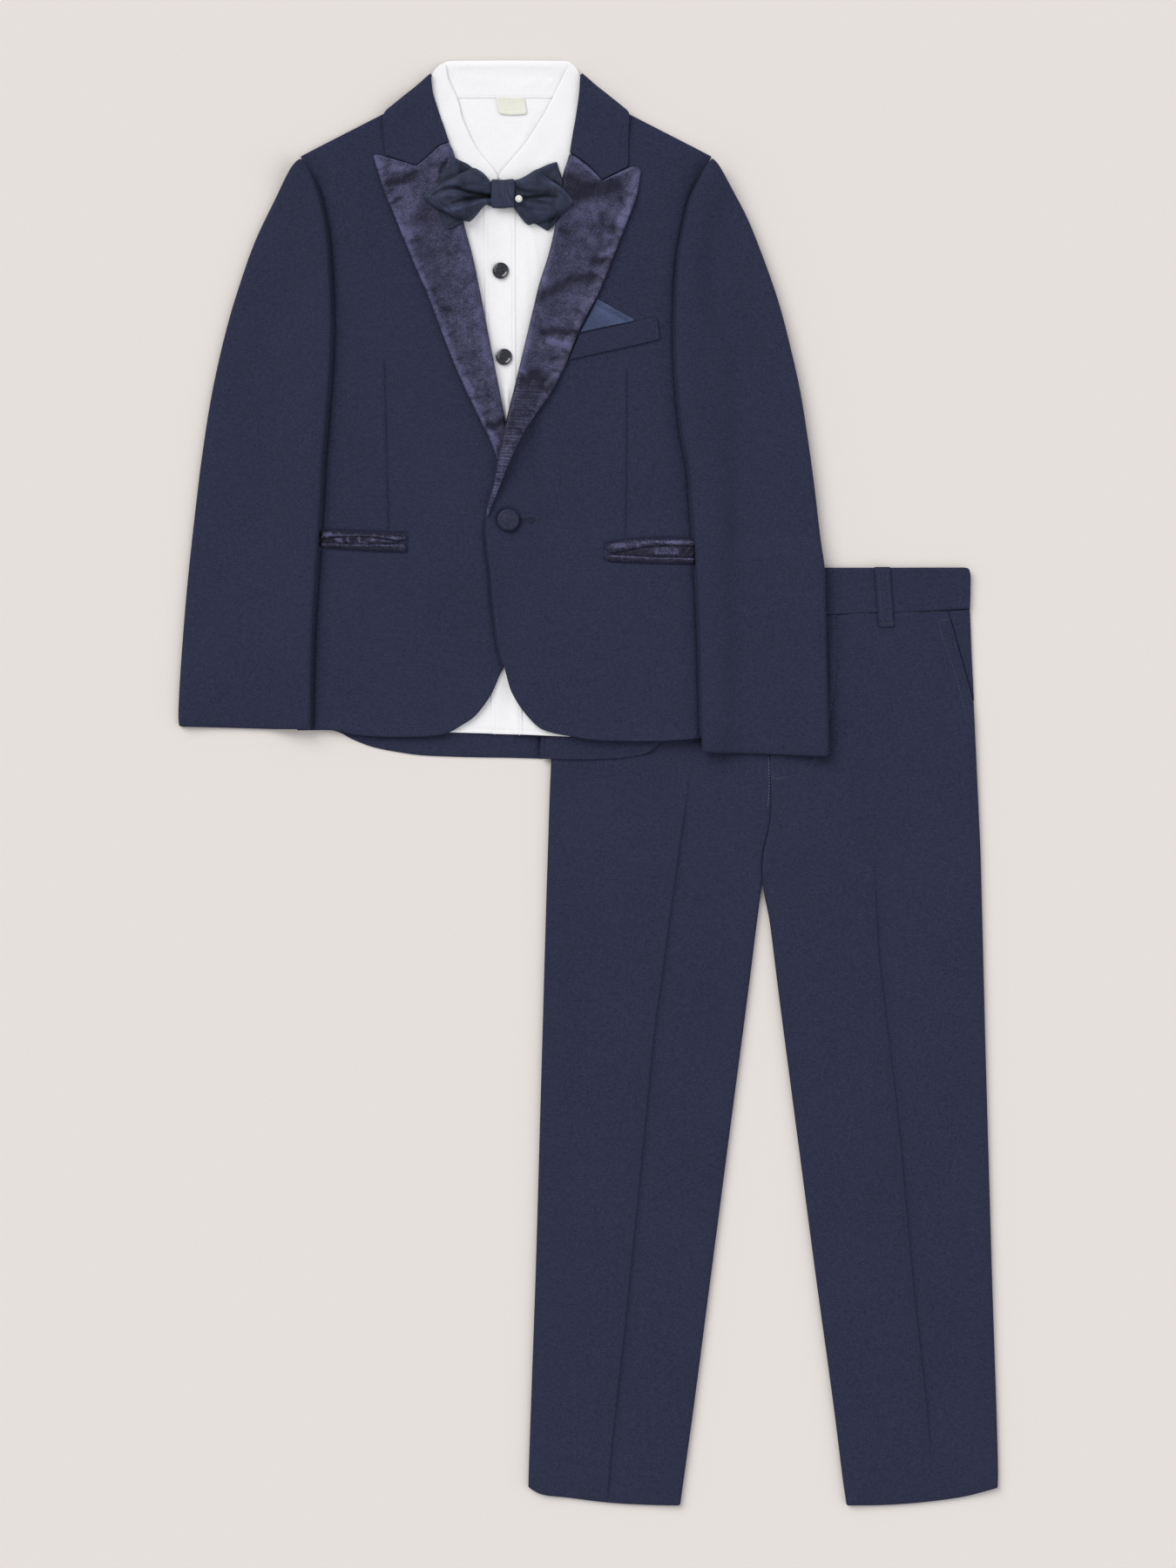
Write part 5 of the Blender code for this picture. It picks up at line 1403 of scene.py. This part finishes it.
def makeShirt():
    s = shirt
    laySheet(
        "shirtBack", "cotton", ["jacketBackRight", "jacketBackLeft"],
        edges=(s["neck"], s["rightArm"], s["hemRight"][::-1], s["hemLeft"][::-1], s["leftArm"][::-1]),
        thick=0.8, grid=6, rim=2.4, reach=4,
        folds=((((-76, 496), (-72, 474), (-68, 452)), 2.2, 0.4),
               (((-40, 498), (-46, 478), (-58, 456)), 2.6, 0.45),
               (((-88, 490), (-80, 474)), 2.2, 0.35)))
    laySheet(
        "shirtCollarFall", "cotton", ["jacketCollarBack"], held="folded",
        edges=(((-104, 508.6),), s["topEdge"], ((-14, 508.6),)),
        thick=0.9, grid=3, rim=1.6, reach=2)
    laySheet(
        "shirtFrontRight", "cotton", ["shirtBack"],
        edges=(shifted(s["stripRight"], 2.4), s["hemRight"], s["rightArm"][::-1],
               ((-106, 500), (-98, 492), (-84, 462), (-76.4, 445.5))),
        folds=(
            (((-97, 440), (-91.5, 412), (-85, 384), (-79.5, 356)), 4.6, 1.5, (0.1, 0.4)),
            (((-86, 412), (-82, 392), (-77.5, 366)), 1.8, 0.9, (0.1, 0.4)),
            (((-92, 430), (-86, 410), (-84, 380)), 2.6, 0.5, (0.3, 0.5)),
            (((-80, 350), (-79, 330), (-77, 300)), 2.4, 0.35, (0.4, 0.4)),
            (((-84, 78), (-82, 60), (-88, 44)), 3, 0.4),
        ),
        seams=((shifted(s["hemRight"], 0, 3), 0.4, 0.2),), **s["front"])
    laySheet(
        "shirtFrontLeft", "cotton", ["shirtBack"],
        edges=(shifted(s["stripLeft"], -2.4), ((-40, 466), (-26, 490), (-12, 500)), s["leftArm"],
               s["hemLeft"]),
        folds=(
            (((-42, 412), (-39, 392), (-36, 366)), 1.5, 0.7, (0.1, 0.4)),
            (((-47, 406), (-45, 372), (-46, 330)), 2.4, 0.4, (0.3, 0.5)),
            (((-48, 330), (-50, 310), (-51, 286)), 2.2, 0.35, (0.4, 0.4)),
            (((-40, 76), (-36, 60), (-40, 44)), 3, 0.45),
            (((-26, 60), (-22, 50), (-26, 40)), 3, 0.35),
        ),
        seams=((shifted(s["hemLeft"], 0, 3), 0.4, 0.2),), **s["front"])
    laySheet(
        "shirtPlacket", "cotton", ["shirtFrontRight", "shirtFrontLeft"],
        edges=(s["stripRight"], s["stripLeft"]),
        thick=0.55, grid=1.8, under=4, rim=1.2, reach=2, round=0.35, gap=0.05,
        folds=(
            (((-60.6, 298), (-59.6, 284), (-58, 266)), 1.7, 2, (0.5, 0)),
            (((-66, 410), (-65, 394)), 4.5, 0.35, (0.4, 0.4)),
            (((-70, 376), (-64, 371), (-58, 376)), 2.4, -0.25),
            (((-60, 360), (-64, 340), (-62, 322)), 4.5, 0.4, (0.4, 0.4)),
            (((-69, 312), (-63, 307), (-56, 311)), 2.4, -0.25),
        ),
        seams=((shifted(s["stripRight"], 2.6), 0.45, 0.14),
               (shifted(s["stripLeft"], -2.6), 0.45, 0.14),
               (((-70.2, 39), (-48, 39)), 0.4, 0.2)))
    laySheet(
        "shirtCollarBand", "cotton", ["shirtCollarFall"],
        edges=(((-104, 503.8),), s["topEdge"], ((-14, 503.8),)),
        thick=0.45, grid=1.8, rim=1.2, reach=2, round=0.35, gap=0.05,
        rolls=((s["topEdge"], 1.1, 1.8, 5.5),),
        folds=((((-100, 527.6), (-60, 528.2), (-20, 527.6)), 1.4, 0.35, (0.1, 0.1)),
               (((-98, 520), (-78, 516.6), (-60, 517.6)), 3, 0.35, (0.3, 0.5)),
               (((-30, 522), (-42, 514), (-56, 511)), 3, 0.35, (0.3, 0.5)),
               (((-26, 518), (-33, 509)), 2.4, 0.4, (0.3, 0.4))),
        seams=((s["bandSeam"], 0.5, 0.08),))
    laySheet(
        "shirtLabel", "label", ["shirtBack", "shirtCollarBand"],
        edges=(((-67.2, 504.1), (-65.6, 493.6)), ((-64.4, 491.9), (-55, 491.3), (-46, 491.8)),
               ((-44.6, 493.6), (-46.8, 504.1))),
        air=0.5, thick=0.6, grid=1.1, rim=0.9, reach=1, round=0.4,
        folds=((((-65, 493), (-55, 492.5), (-45.6, 493)), 0.7, 0.35, (0.02, 0.02)),
               (((-60, 502), (-58.6, 494)), 2, 0.25, (0.2, 0.2))))


def makeShirtCollar():
    rightFold = (
        (-104.6, 529), (-103.5, 524), (-102.4, 518), (-97.6, 508), (-94.6, 500), (-92, 489), (-88, 480),
        (-83.5, 470), (-78, 462), (-71, 454), (-66.5, 447), (-65.6, 444.2),
    )
    rightOuter = (
        (-92.5, 434), (-95.4, 446), (-98.4, 460), (-102.8, 471), (-105.6, 478), (-107.6, 484),
        (-109.8, 490), (-112, 497), (-114.2, 505), (-115, 511), (-115.2, 516), (-113.2, 522.8),
        (-108.4, 528.2),
    )
    laySheet(
        "shirtCollarLeafRight", "cotton", ["shirtFrontRight", "shirtCollarBand"], held="folded",
        edges=(rightOuter, rightFold),
        rolls=((rightFold[1:], 0.6, 1.6, 12),),
        folds=((((-110.5, 520), (-108, 500), (-98, 476)), 3, 0.2, (0.2, 0.3)),
               (((-90, 490), (-82, 474), (-72, 460)), 2, -0.25, (0.1, 0.3)),
               (((-100, 474), (-92, 460), (-84, 450)), 4, 0.3, (0.3, 0.4))), **shirt["leaf"])
    leftFold = (
        (-65.2, 444.6), (-64.6, 447.4), (-59, 455), (-50.9, 464.4), (-44.9, 471.6), (-39.9, 479.6),
        (-34.8, 487.2), (-30.3, 495), (-25.8, 504), (-20.7, 514.2), (-16.7, 522.2), (-13.2, 529.2),
    )
    leftOuter = (
        (-9.6, 527.2), (-6.6, 522.6), (-4.8, 516), (-5, 508), (-6.2, 497), (-8, 486), (-9.8, 476),
        (-12, 464), (-14.4, 455), (-19, 445), (-38, 430),
    )
    laySheet(
        "shirtCollarLeafLeft", "cotton", ["shirtFrontLeft", "shirtCollarBand"], held="folded",
        edges=(leftFold, leftOuter),
        rolls=((leftFold[:-1], 0.6, 1.6, 12),),
        folds=((((-9, 520), (-12, 500), (-18, 476)), 3, 0.2, (0.2, 0.3)),
               (((-26, 520), (-23, 515), (-20, 510)), 1.8, -0.4, (0.1, 0.3)),
               (((-18, 474), (-28, 460), (-42, 450)), 4, 0.3, (0.3, 0.4))), **shirt["leaf"])


# bow tie

bowTie = {
    "tail": {"thick": 0.9, "grid": 1.2, "rim": 0.9, "reach": 1, "round": 0.7, "air": 0.8},
    "wing": {"thick": 1, "grid": 0.7, "under": 2, "rim": 0.7, "reach": 1, "round": 0.8, "air": 0.4,
             "puff": (4.4, 7)},
    "rightTail": (
        ((-84.7, 452.3), (-87.8, 454.8), (-91.7, 456.7), (-94.9, 457.9), (-97.6, 459.3)),
        ((-98.6, 458.2), (-102.4, 452.4), (-106, 447), (-109.4, 436), (-110, 422)),
        ((-108.9, 419), (-107.7, 415), (-105.8, 410.3), (-103.8, 407.3), (-101.9, 406.6), (-98.8, 407.8),
         (-94.9, 409.9), (-91.8, 411.5)),
        ((-76, 425), (-72.8, 441.4)),
    ),
    "leftTail": (
        ((-54.3, 443.1), (-50.4, 443.9), (-44.9, 446.6), (-39.5, 450.1), (-34.8, 452), (-28.6, 454.8),
         (-22.5, 456.6)),
        ((-21.2, 451.7), (-19.6, 447), (-18.2, 438), (-18.4, 428), (-19.9, 418.5)),
        ((-21.5, 416.5), (-23.8, 411.9), (-25.8, 408.7), (-29.3, 405.8)),
        ((-32.5, 407.6), (-35.6, 409.5), (-39.1, 411.2), (-42, 411)),
        ((-53, 424),),
    ),
    "rightWing": (
        ((-66, 441), (-71, 441.9), (-73, 444.2), (-76.1, 447.8), (-79.2, 450), (-82.4, 451.6), (-85, 452)),
        ((-91, 448.6), (-98.8, 443.8), (-105, 441), (-109.7, 438.5), (-114.3, 435), (-119.6, 431.6)),
        ((-120.6, 429.4), (-119.6, 428), (-115, 424.3), (-110, 420.9), (-105, 418.8), (-98.8, 415),
         (-93.3, 413), (-90.2, 412.3)),
        ((-86.6, 412.1), (-83.9, 414.6), (-80.8, 418.1), (-78.4, 421.2), (-76.1, 423.7), (-73.8, 424.8),
         (-71.4, 424), (-66, 425)),
    ),
    "leftWing": (
        ((-59, 424.6), (-54.3, 422.8), (-52.8, 420.8), (-50.4, 417.3), (-48.1, 414.2), (-45.8, 411.5),
         (-43.4, 409.9)),
        ((-38.7, 411.3), (-30.6, 413.2), (-19.9, 416.9), (-16.8, 418.2), (-13.6, 420.8), (-10.6, 423.8)),
        ((-9.9, 425.4), (-11.4, 428.2), (-14.5, 432.4), (-18.3, 436.4), (-22.2, 439.4), (-26.8, 442.9),
         (-32, 446.6)),
        ((-34.6, 450), (-38.5, 449.6), (-44.6, 446.2), (-50.2, 443.5), (-54.3, 442.6), (-59, 441.4)),
    ),
    "knot": (
        ((-70.5, 442.3), (-70.8, 433), (-70.7, 423.3)),
        ((-69.5, 422.2), (-62.4, 421.9), (-54.8, 422.2)),
        ((-53.7, 423.3), (-53.4, 433), (-53.6, 442.1)),
        ((-54.6, 443.2), (-62, 442.8), (-69.3, 443.3)),
    ),
}


def makeBowTie():
    b = bowTie
    laySheet(
        "bowTieTailRight", "bow", ["shirtCollarLeafRight", "jacketLapelRight"], held="folded",
        edges=b["rightTail"],
        # painted shade in its folds and painted highlights on its ridges
        tones=((((-109, 441.6), (-104, 444), (-97, 447)), 1.4, -0.3),
               (((-92, 449.4), (-88, 449.8)), 1, -0.25),
               (((-108, 424), (-103, 415), (-95, 415.6)), 3.6, -0.26),
               (((-86, 453), (-92, 456), (-97, 458.4)), 1.2, 0.15)),
        folds=((((-97, 457.6), (-90, 453.6), (-84, 450)), 1.3, 0.8, (0.1, 0.3)),
               (((-104, 446), (-96, 444), (-82, 440)), 3, 0.5, (0.2, 0.3)),
               (((-103, 409), (-99, 413), (-90, 420)), 1.8, 0.8, (0.1, 0.3)),
               (((-107.6, 418), (-104, 412), (-101.6, 408)), 1.2, 0.5, (0.1, 0.2))), **b["tail"])
    laySheet(
        "bowTieTailLeft", "bow", ["shirtCollarLeafLeft", "jacketLapelLeft"], held="folded",
        edges=b["leftTail"],
        # painted shade in its folds and painted highlights on its ridges
        tones=((((-29, 444.6), (-22, 440.4), (-19.6, 437.6)), 1.4, -0.4),
               (((-47, 447), (-36, 449.6), (-25, 453)), 3.4, 0.16),
               (((-28.4, 413.6), (-27.8, 411), (-28.6, 407)), 1, -0.3)),
        folds=((((-23, 455.6), (-32, 451.6), (-44, 445.6)), 1.3, 0.8, (0.1, 0.3)),
               (((-21.4, 450), (-24, 446), (-28, 441)), 2, 0.6, (0.2, 0.3)),
               (((-28, 413.8), (-27.6, 411), (-28.6, 407.4)), 1, -0.8, (0.1, 0.2)),
               (((-23.2, 414), (-26, 410.6), (-29.2, 407.4)), 1.3, 0.7, (0.1, 0.3))), **b["tail"])
    upper = ((-71, 431.1), (-80, 432.3), (-88, 433.6), (-95, 435.6), (-101, 436), (-108, 434.1),
             (-114, 431.5))
    lower = ((-71, 430.5), (-78, 430.2), (-86, 428.7), (-93, 426.9), (-99, 425.2))
    laySheet(
        "bowTieWingRight", "bow", ["bowTieTailRight"], held="folded",
        edges=b["rightWing"],
        # painted shade in its folds and painted highlights on its ridges
        tones=((upper, 0.9, -0.42), (upper[:4], 1.3, -0.25), (lower, 1.2, -0.45),
               (((-76, 430.7), (-82, 430.3), (-90, 429)), 1.5, -0.3),
               (((-104, 420.5), (-98, 420.3), (-90, 422.4), (-82, 425.5), (-75, 427.7)), 1.5, 0.42),
               (((-112, 429.5), (-106, 430.9), (-98, 431.1)), 1.8, 0.2),
               (((-82, 444.7), (-78, 441.8)), 3, -0.12),
               (((-118, 430.3), (-108, 436.3), (-98, 440.7)), 1, 0.22),
               (((-96, 415.5), (-88, 414)), 2.4, -0.22)),
        folds=(
            # two deep pinched folds run out from the knot, with a hollow between them
            (upper, 1.3, -2.6, (0.02, 0.5)), (lower, 1.6, -2.4, (0.02, 0.45)),
            (((-71, 430.7), (-78, 430.6), (-86, 429.9)), 2.2, -1.3, (0, 0.6)),
            (((-84, 430.8), (-92, 430.9), (-100, 430), (-110, 428.3)), 2.2, 0.9, (0.5, 0.4)),
            (((-72, 437.4), (-80, 440.7), (-90, 441), (-100, 439)), 2.2, 1, (0.1, 0.5)),
            (((-72.5, 441.4), (-78, 446.2), (-84.4, 448.8)), 1.1, 0.7, (0.1, 0.3)),
            (((-75, 427.5), (-82, 425.1), (-90, 422.2), (-98.8, 419.2)), 1.5, 1.2, (0.1, 0.4)),
            (((-76, 423.3), (-83, 420), (-90, 415.4)), 1.3, -1, (0.1, 0.4)),
            (((-119, 429.9), (-109, 436.3), (-98.8, 441.2)), 1.2, 0.6, (0.1, 0.3)),
            (((-119, 428.5), (-108, 420.9), (-98, 415.1)), 1.2, 0.6, (0.1, 0.3)),
        ), **b["wing"])
    main = ((-49, 429.5), (-41.8, 429.6), (-36.4, 430.2), (-30.9, 430.8), (-22, 429.7))
    laySheet(
        "bowTieWingLeft", "bow", ["bowTieTailLeft"], held="folded",
        edges=b["leftWing"],
        # painted shade in its folds and painted highlights on its ridges
        tones=((main, 1.2, -0.42), (((-40, 427.6), (-34, 425.9), (-28, 424.9)), 1.3, -0.24),
               (((-53.5, 436.9), (-46.5, 434), (-38, 433.3)), 2.6, -0.22),
               (((-30, 434.2), (-24, 434)), 3, -0.26),
               (((-11.4, 426.5), (-14.8, 431.3), (-18.8, 435.3), (-26.8, 440.7)), 0.9, 0.5),
               (((-44, 423.1), (-36, 420.4), (-26, 419)), 2.4, 0.12),
               (((-22, 417.5), (-27, 413.5)), 1.8, -0.26)),
        folds=(
            (main, 1.5, -2.3, (0.02, 0.45)),
            (((-47, 428.6), (-43, 427.7), (-34, 426.1), (-28, 425.3)), 1.2, -1.5, (0.02, 0.4)),
            (((-53.5, 436.7), (-46.5, 433.4), (-38, 432.3)), 1.5, -1.4, (0.02, 0.5)),
            (((-53, 439.4), (-44, 441.3), (-34, 441.9)), 2, 0.9, (0.1, 0.4)),
            (((-46, 435.8), (-36, 436), (-24, 434.2)), 1.8, 0.9, (0.2, 0.4)),
            (((-52, 425.2), (-44, 421.1), (-38, 415.5)), 1.4, -1.5, (0.02, 0.5)),
            (((-51, 422), (-46, 415.8), (-42.6, 411.1)), 1.3, 0.7, (0.1, 0.3)),
            (((-46, 424.8), (-36, 421.8), (-24, 419.6)), 2, 1, (0.2, 0.4)),
            (((-11.4, 425.9), (-18, 434.3), (-30, 443.2)), 1, 0.9, (0.05, 0.2)),
            (((-11.6, 424.9), (-20, 418.1), (-32, 412.7)), 1.2, 0.5, (0.1, 0.3)),
        ), **b["wing"])
    laySheet(
        "bowTieKnot", "knot", ["bowTieWingRight", "bowTieWingLeft"], held="folded",
        edges=b["knot"], thick=1.3, grid=0.8, rim=0.7, reach=2, round=1.2, puff=(0.8, 5), gap=0.1,
        tones=(),
        folds=((((-68.4, 440), (-68, 433), (-69, 426)), 1.2, -0.4, (0.2, 0.2)),
               (((-57, 440), (-57.6, 433), (-57, 426)), 1.2, -0.4, (0.2, 0.2))))


# buttons and pin


def groundAt(place):
    return float(pileAt([place])[0])


def startPiece(name, primitive, **values):
    # a primitive form, open for shaping
    bpy.ops.object.select_all(action="DESELECT")
    primitive(**values)
    piece = bpy.context.object
    piece.name = name
    bpy.ops.object.transform_apply(location=True)
    bpy.ops.object.mode_set(mode="EDIT")
    bpy.ops.mesh.select_mode(type="FACE")
    return piece


def finishPiece(piece, finish, place, node):
    # puts a modelled piece on the pile, with its place in its mesh
    piece.data.transform(piece.matrix_world)
    piece.matrix_world.identity()
    ground = groundAt(place)
    for vertex in piece.data.vertices:
        vertex.co += Vector((*place, ground)) * mm
    bindPiece(piece, finish, (node,))


def stepInwards(steps):
    # insets and rises of the chosen faces, in turn
    for inset, rise in steps:
        bpy.ops.mesh.inset(thickness=inset * mm)
        bpy.ops.transform.translate(value=(0, 0, rise * mm))


def selectFaces(piece, test):
    bpy.ops.mesh.select_all(action="DESELECT")
    bpy.ops.object.mode_set(mode="OBJECT")
    for face in piece.data.polygons:
        face.select = test(face)
    bpy.ops.object.mode_set(mode="EDIT")


def applyModifier(piece, kind, **values):
    modifier = piece.modifiers.new(kind.title(), kind)
    for key, value in values.items():
        setattr(modifier, key, value)
    bpy.context.view_layer.objects.active = piece
    bpy.ops.object.modifier_apply(modifier=modifier.name)


coveredButton = {
    "place": (-58.2, 193.2),
    "radius": 8.3,
    "depth": 1.2,
    "middle": 0.7,
    "lift": 1,  # its shank holds it off the cloth
    "shank": 4.5,  # inset of the shank
    "steps": ((0.4, 1.1), (0.9, 0.9), (1.2, -0.25), (1.9, 0.35), (2, 0.25)),  # inset and rise of the dome
}


def makeCoveredButton():
    b = coveredButton
    button = startPiece(
        "coveredButton", bpy.ops.mesh.primitive_cylinder_add, vertices=40, radius=b["radius"] * mm,
        depth=b["depth"] * mm, location=(0, 0, (b["middle"] + b["lift"]) * mm))
    selectFaces(button, lambda face: face.normal.z > 0.9)
    stepInwards(b["steps"])
    selectFaces(button, lambda face: face.normal.z < -0.9)
    stepInwards(((b["shank"], -b["lift"]),))
    bpy.ops.object.mode_set(mode="OBJECT")
    applyModifier(button, "SUBSURF", levels=2, render_levels=2)
    button.data.shade_smooth()
    finishPiece(button, "buttonSatin", b["place"], "jacket_button")


shirtButtons = {
    "places": {"upper": (-63.9, 376.7), "lower": (-61.4, 313.3)},
    "radius": 6,
    "thick": 2,
    "air": 0.2,
    # a rim, a dish and a raised middle
    "steps": ((0.8, 0.42), (0.5, 0), (1, -0.55), (0.5, 0), (0.5, 0.18)),
    "bevel": 0.18,
    "hole": 0.7,
    "holeGap": 1.35,
    "turn": {"upper": 20, "lower": -12.0},
    "thread": 0.42,
    "threadHeights": ((-1, 1.45), (1, 1.7)),  # which way it runs, and its height
}


def makeShirtButton(name, place):
    b = shirtButtons
    button = startPiece(
        f"shirtButton{name.capitalize()}", bpy.ops.mesh.primitive_cylinder_add, vertices=48,
        radius=b["radius"] * mm, depth=b["thick"] * mm, location=(0, 0, (b["thick"] / 2 + b["air"]) * mm))
    selectFaces(button, lambda face: face.normal.z > 0.9)
    stepInwards(b["steps"])
    selectFaces(button, lambda face: face.normal.z < -0.9)
    bpy.ops.mesh.inset(thickness=1 * mm)
    bpy.ops.object.mode_set(mode="OBJECT")
    applyModifier(button, "BEVEL", width=b["bevel"] * mm, segments=2, limit_method="ANGLE", angle_limit=0.5)
    gap = b["holeGap"]
    for x, y in ((-gap, -gap), (-gap, gap), (gap, -gap), (gap, gap)):
        bpy.ops.object.select_all(action="DESELECT")
        bpy.ops.mesh.primitive_cylinder_add(
            vertices=16, radius=b["hole"] * mm, depth=8.0 * mm, location=(x * mm, y * mm, 0))
        drill = bpy.context.object
        applyModifier(button, "BOOLEAN", operation="DIFFERENCE", object=drill)
        bpy.data.objects.remove(drill)
    turn = turnBy(math.radians(b["turn"][name]))
    for vertex in button.data.vertices:
        vertex.co.x, vertex.co.y = turn @ np.array(vertex.co.xy)
    bpy.ops.object.select_all(action="DESELECT")
    button.select_set(True)
    bpy.context.view_layer.objects.active = button
    bpy.ops.object.shade_smooth_by_angle(angle=math.radians(40))
    finishPiece(button, "resin", place, f"shirt_button_{name}")
    # two crossed threads through the holes
    crossed = []
    for sign, height in b["threadHeights"]:
        end = turn @ np.array((gap, gap * sign))
        crossed.append((place - end, place + end, groundAt(place) + height, b["thread"]))
    makeStitches(f"{button.name}Thread", crossed, "resin")


pin = {"place": (-50.4, 428.3), "radius": 2.7, "sunk": 0.2}


def makePin():
    bead = startPiece(
        "bowPin", bpy.ops.mesh.primitive_uv_sphere_add, segments=32, ring_count=20,
        radius=pin["radius"] * mm, location=(0, 0, (pin["radius"] - pin["sunk"]) * mm))
    selectFaces(bead, lambda face: face.normal.z > 0.97)
    stepInwards(((0.15, -0.5),))  # the pin's own small dent
    bpy.ops.object.mode_set(mode="OBJECT")
    applyModifier(bead, "SUBSURF", levels=1, render_levels=1)
    bead.data.shade_smooth()
    finishPiece(bead, "pearl", pin["place"], "bow_tie_pin")


# stitches

stitch = {
    "sides": 6,
    "inset": 0.45,  # how much smaller its round ends are, in radii
    "taper": 0.72,
    "arch": 0.5,  # rise of its middle, in radii
    "flat": 0.8,
}


def makeStitches(name, stitches, finish):
    # each stitch is a small round-ended bar of thread from one place to another
    bpy.ops.object.select_all(action="DESELECT")
    bpy.ops.mesh.primitive_cylinder_add(vertices=stitch["sides"], radius=1, depth=1, end_fill_type="NGON")
    bar = bpy.context.object
    bpy.ops.object.mode_set(mode="EDIT")
    bpy.ops.mesh.select_mode(type="FACE")
    selectFaces(bar, lambda face: abs(face.normal.z) > 0.9)
    bpy.ops.mesh.inset(thickness=stitch["inset"])
    bpy.ops.object.mode_set(mode="OBJECT")
    form = np.array([tuple(vertex.co) for vertex in bar.data.vertices])
    faces = [tuple(face.vertices) for face in bar.data.polygons]
    bpy.data.objects.remove(bar)
    ends = lengthOf(form) < 0.8
    form[:, 2] = np.where(ends, form[:, 2], form[:, 2] * stitch["taper"])  # the bar narrows at its ends
    vertices, made = [], []
    for start, end, height, radius in stitches:
        along = np.append(end - start, 0)
        length = np.linalg.norm(along)
        along = along / length
        across = np.array((-along[1], along[0], 0))
        centre = np.append((start + end) / 2, height)
        arch = radius * stitch["arch"] * (1 - (2 * form[:, 2]) ** 2)
        body = (centre + np.outer(form[:, 2] * length, along) + np.outer(form[:, 0] * radius, across)
                + np.outer(form[:, 1] * radius * stitch["flat"] + arch, (0, 0, 1)))
        made += [tuple(corner + len(vertices) * len(form) for corner in face) for face in faces]
        vertices.append(body)
    addPiece(name, np.vstack(vertices), made, finish)


def stitchLine(line, pitch=2.6, length=1.9, radius=0.2, lift=0):
    # a row of stitches along a line, on top of whatever lies there
    places, ways = alongLine(line, pitch)
    ground = pileAt(places)
    return [(place - way * length / 2, place + way * length / 2, height + lift, radius)
            for place, way, height in zip(places, ways, ground)]


def barTack(start, end, count, radius=0.22):
    # close stitches across a short bar
    start, end = np.array(start, float), np.array(end, float)
    across = sideways(unit(end - start)) * 0.7
    places = [start + (end - start) * step / (count - 1) for step in range(count)]
    ground = pileAt(places)
    return [(place - across, place + across, height + 0.05, radius)
            for place, height in zip(places, ground)]


def makeTrouserStitches():
    t = trousers
    rows = stitchLine(((180.8, 122.5), *t["flySeam"][1:]), lift=-0.05)
    rows += stitchLine(((258.2, 118), *t["pocketSeam"][1:]), lift=-0.05)
    rows += stitchLine(((179, 123.2), (210.5, 125.2)), lift=-0.25)
    rows += stitchLine(((226.6, 124.9), (262.6, 126.6)), lift=-0.25)
    for line in (((213.9, 152), (215.4, 132), (217, 118.8)), ((220.2, 152), (221.6, 132), (223.2, 118.8))):
        rows += stitchLine(line, pitch=2.2, length=1.5, radius=0.16)
    rows += barTack((215, 117.2), (224.8, 117.4), 11)
    rows += barTack((136.4, 3.4), (142.4, 3.2), 8)
    rows += barTack((258.8, 119.4), (265, 120), 8)
    makeStitches("trouserStitches", rows, "navyThread")
    fly = ((133, 21), (133.4, 8), (133.6, -4), (132.6, -16))
    rows = stitchLine(fly, pitch=2.3, length=1.3, radius=0.22)
    makeStitches("flyStitches", rows, "flyThread")


def makeJacketStitches():
    rows = stitchLine(weltSeam, pitch=2, length=1.4, radius=0.15, lift=-0.15)
    for x, y in ((-131.4, 176.4), (12.4, 169.4)):  # short rows at the hip pockets' ends
        end = ((x, y + 6.4), (x + 0.2, y - 6.6))
        rows += stitchLine(end, pitch=1.8, length=1.2, radius=0.16, lift=-0.2)
    makeStitches("jacketStitches", rows, "navyThread")


buttonhole = {
    "start": (-50, 193), "eye": (-42.6, 192.8), "width": 1.5, "eyeRadius": 2.7, "count": 8,
    "thread": 0.3, "lift": 0.02,
}


def makeButtonhole():
    # overcast stitches on both sides of the slit and round its eye
    b = buttonhole
    start, eye = np.array(b["start"]), np.array(b["eye"])
    way = unit(eye - start)
    across = sideways(way)
    rows = []
    for step in np.linspace(0, 1, b["count"]):
        place = start + (eye - start) * step
        for side in (-1, 1):
            near, far = place + across * side * 0.2, place + across * side * b["width"]
            rows.append((near, far, groundAt(place) + b["lift"], b["thread"]))
    for turn in np.radians(np.arange(-130, 131, 26)):
        outwards = way * math.cos(turn) + across * math.sin(turn)
        near, far = eye + way * 1.2 + outwards * 1.4, eye + way * 1.2 + outwards * b["eyeRadius"]
        rows.append((near, far, groundAt(eye) + b["lift"], b["thread"]))
    makeStitches("buttonholeStitches", rows, "holeThread")


def makeShirtStitches():
    s = shirt
    rows = []
    for line in (shifted(s["stripRight"], 2.6), shifted(s["stripLeft"], -2.6), s["bandSeam"]):
        rows += stitchLine(line, pitch=2.2, length=1.6, radius=0.15, lift=-0.02)
    hidden = ((88, 264), (412, 470))  # under the jacket and the bow tie
    rows = [row for row in rows if not any(low < row[0][1] < high for low, high in hidden)]
    makeStitches("shirtStitches", rows, "whiteThread")
    rows = stitchLine(((-65.6, 503), (-57, 503.2), (-47, 503)), pitch=1.9, length=1.3, radius=0.13)
    makeStitches("labelStitches", rows, "whiteThread")


makeTrousers()
makeTrouserStitches()
makeJacketBacks()
makeShirt()
makeShirtStitches()
for buttonName, buttonPlace in shirtButtons["places"].items():
    makeShirtButton(buttonName, buttonPlace)
makeShirtCollar()
makeRightFront()
makeRightLapel()
makeLeftFront()
makeLeftLapel()
makeCollar()
makeChestPocket()
makeHipPockets()
makeJacketStitches()
makeButtonhole()
makeCoveredButton()
makeSleeves()
makeBowTie()
makePin()
print("all pieces laid")
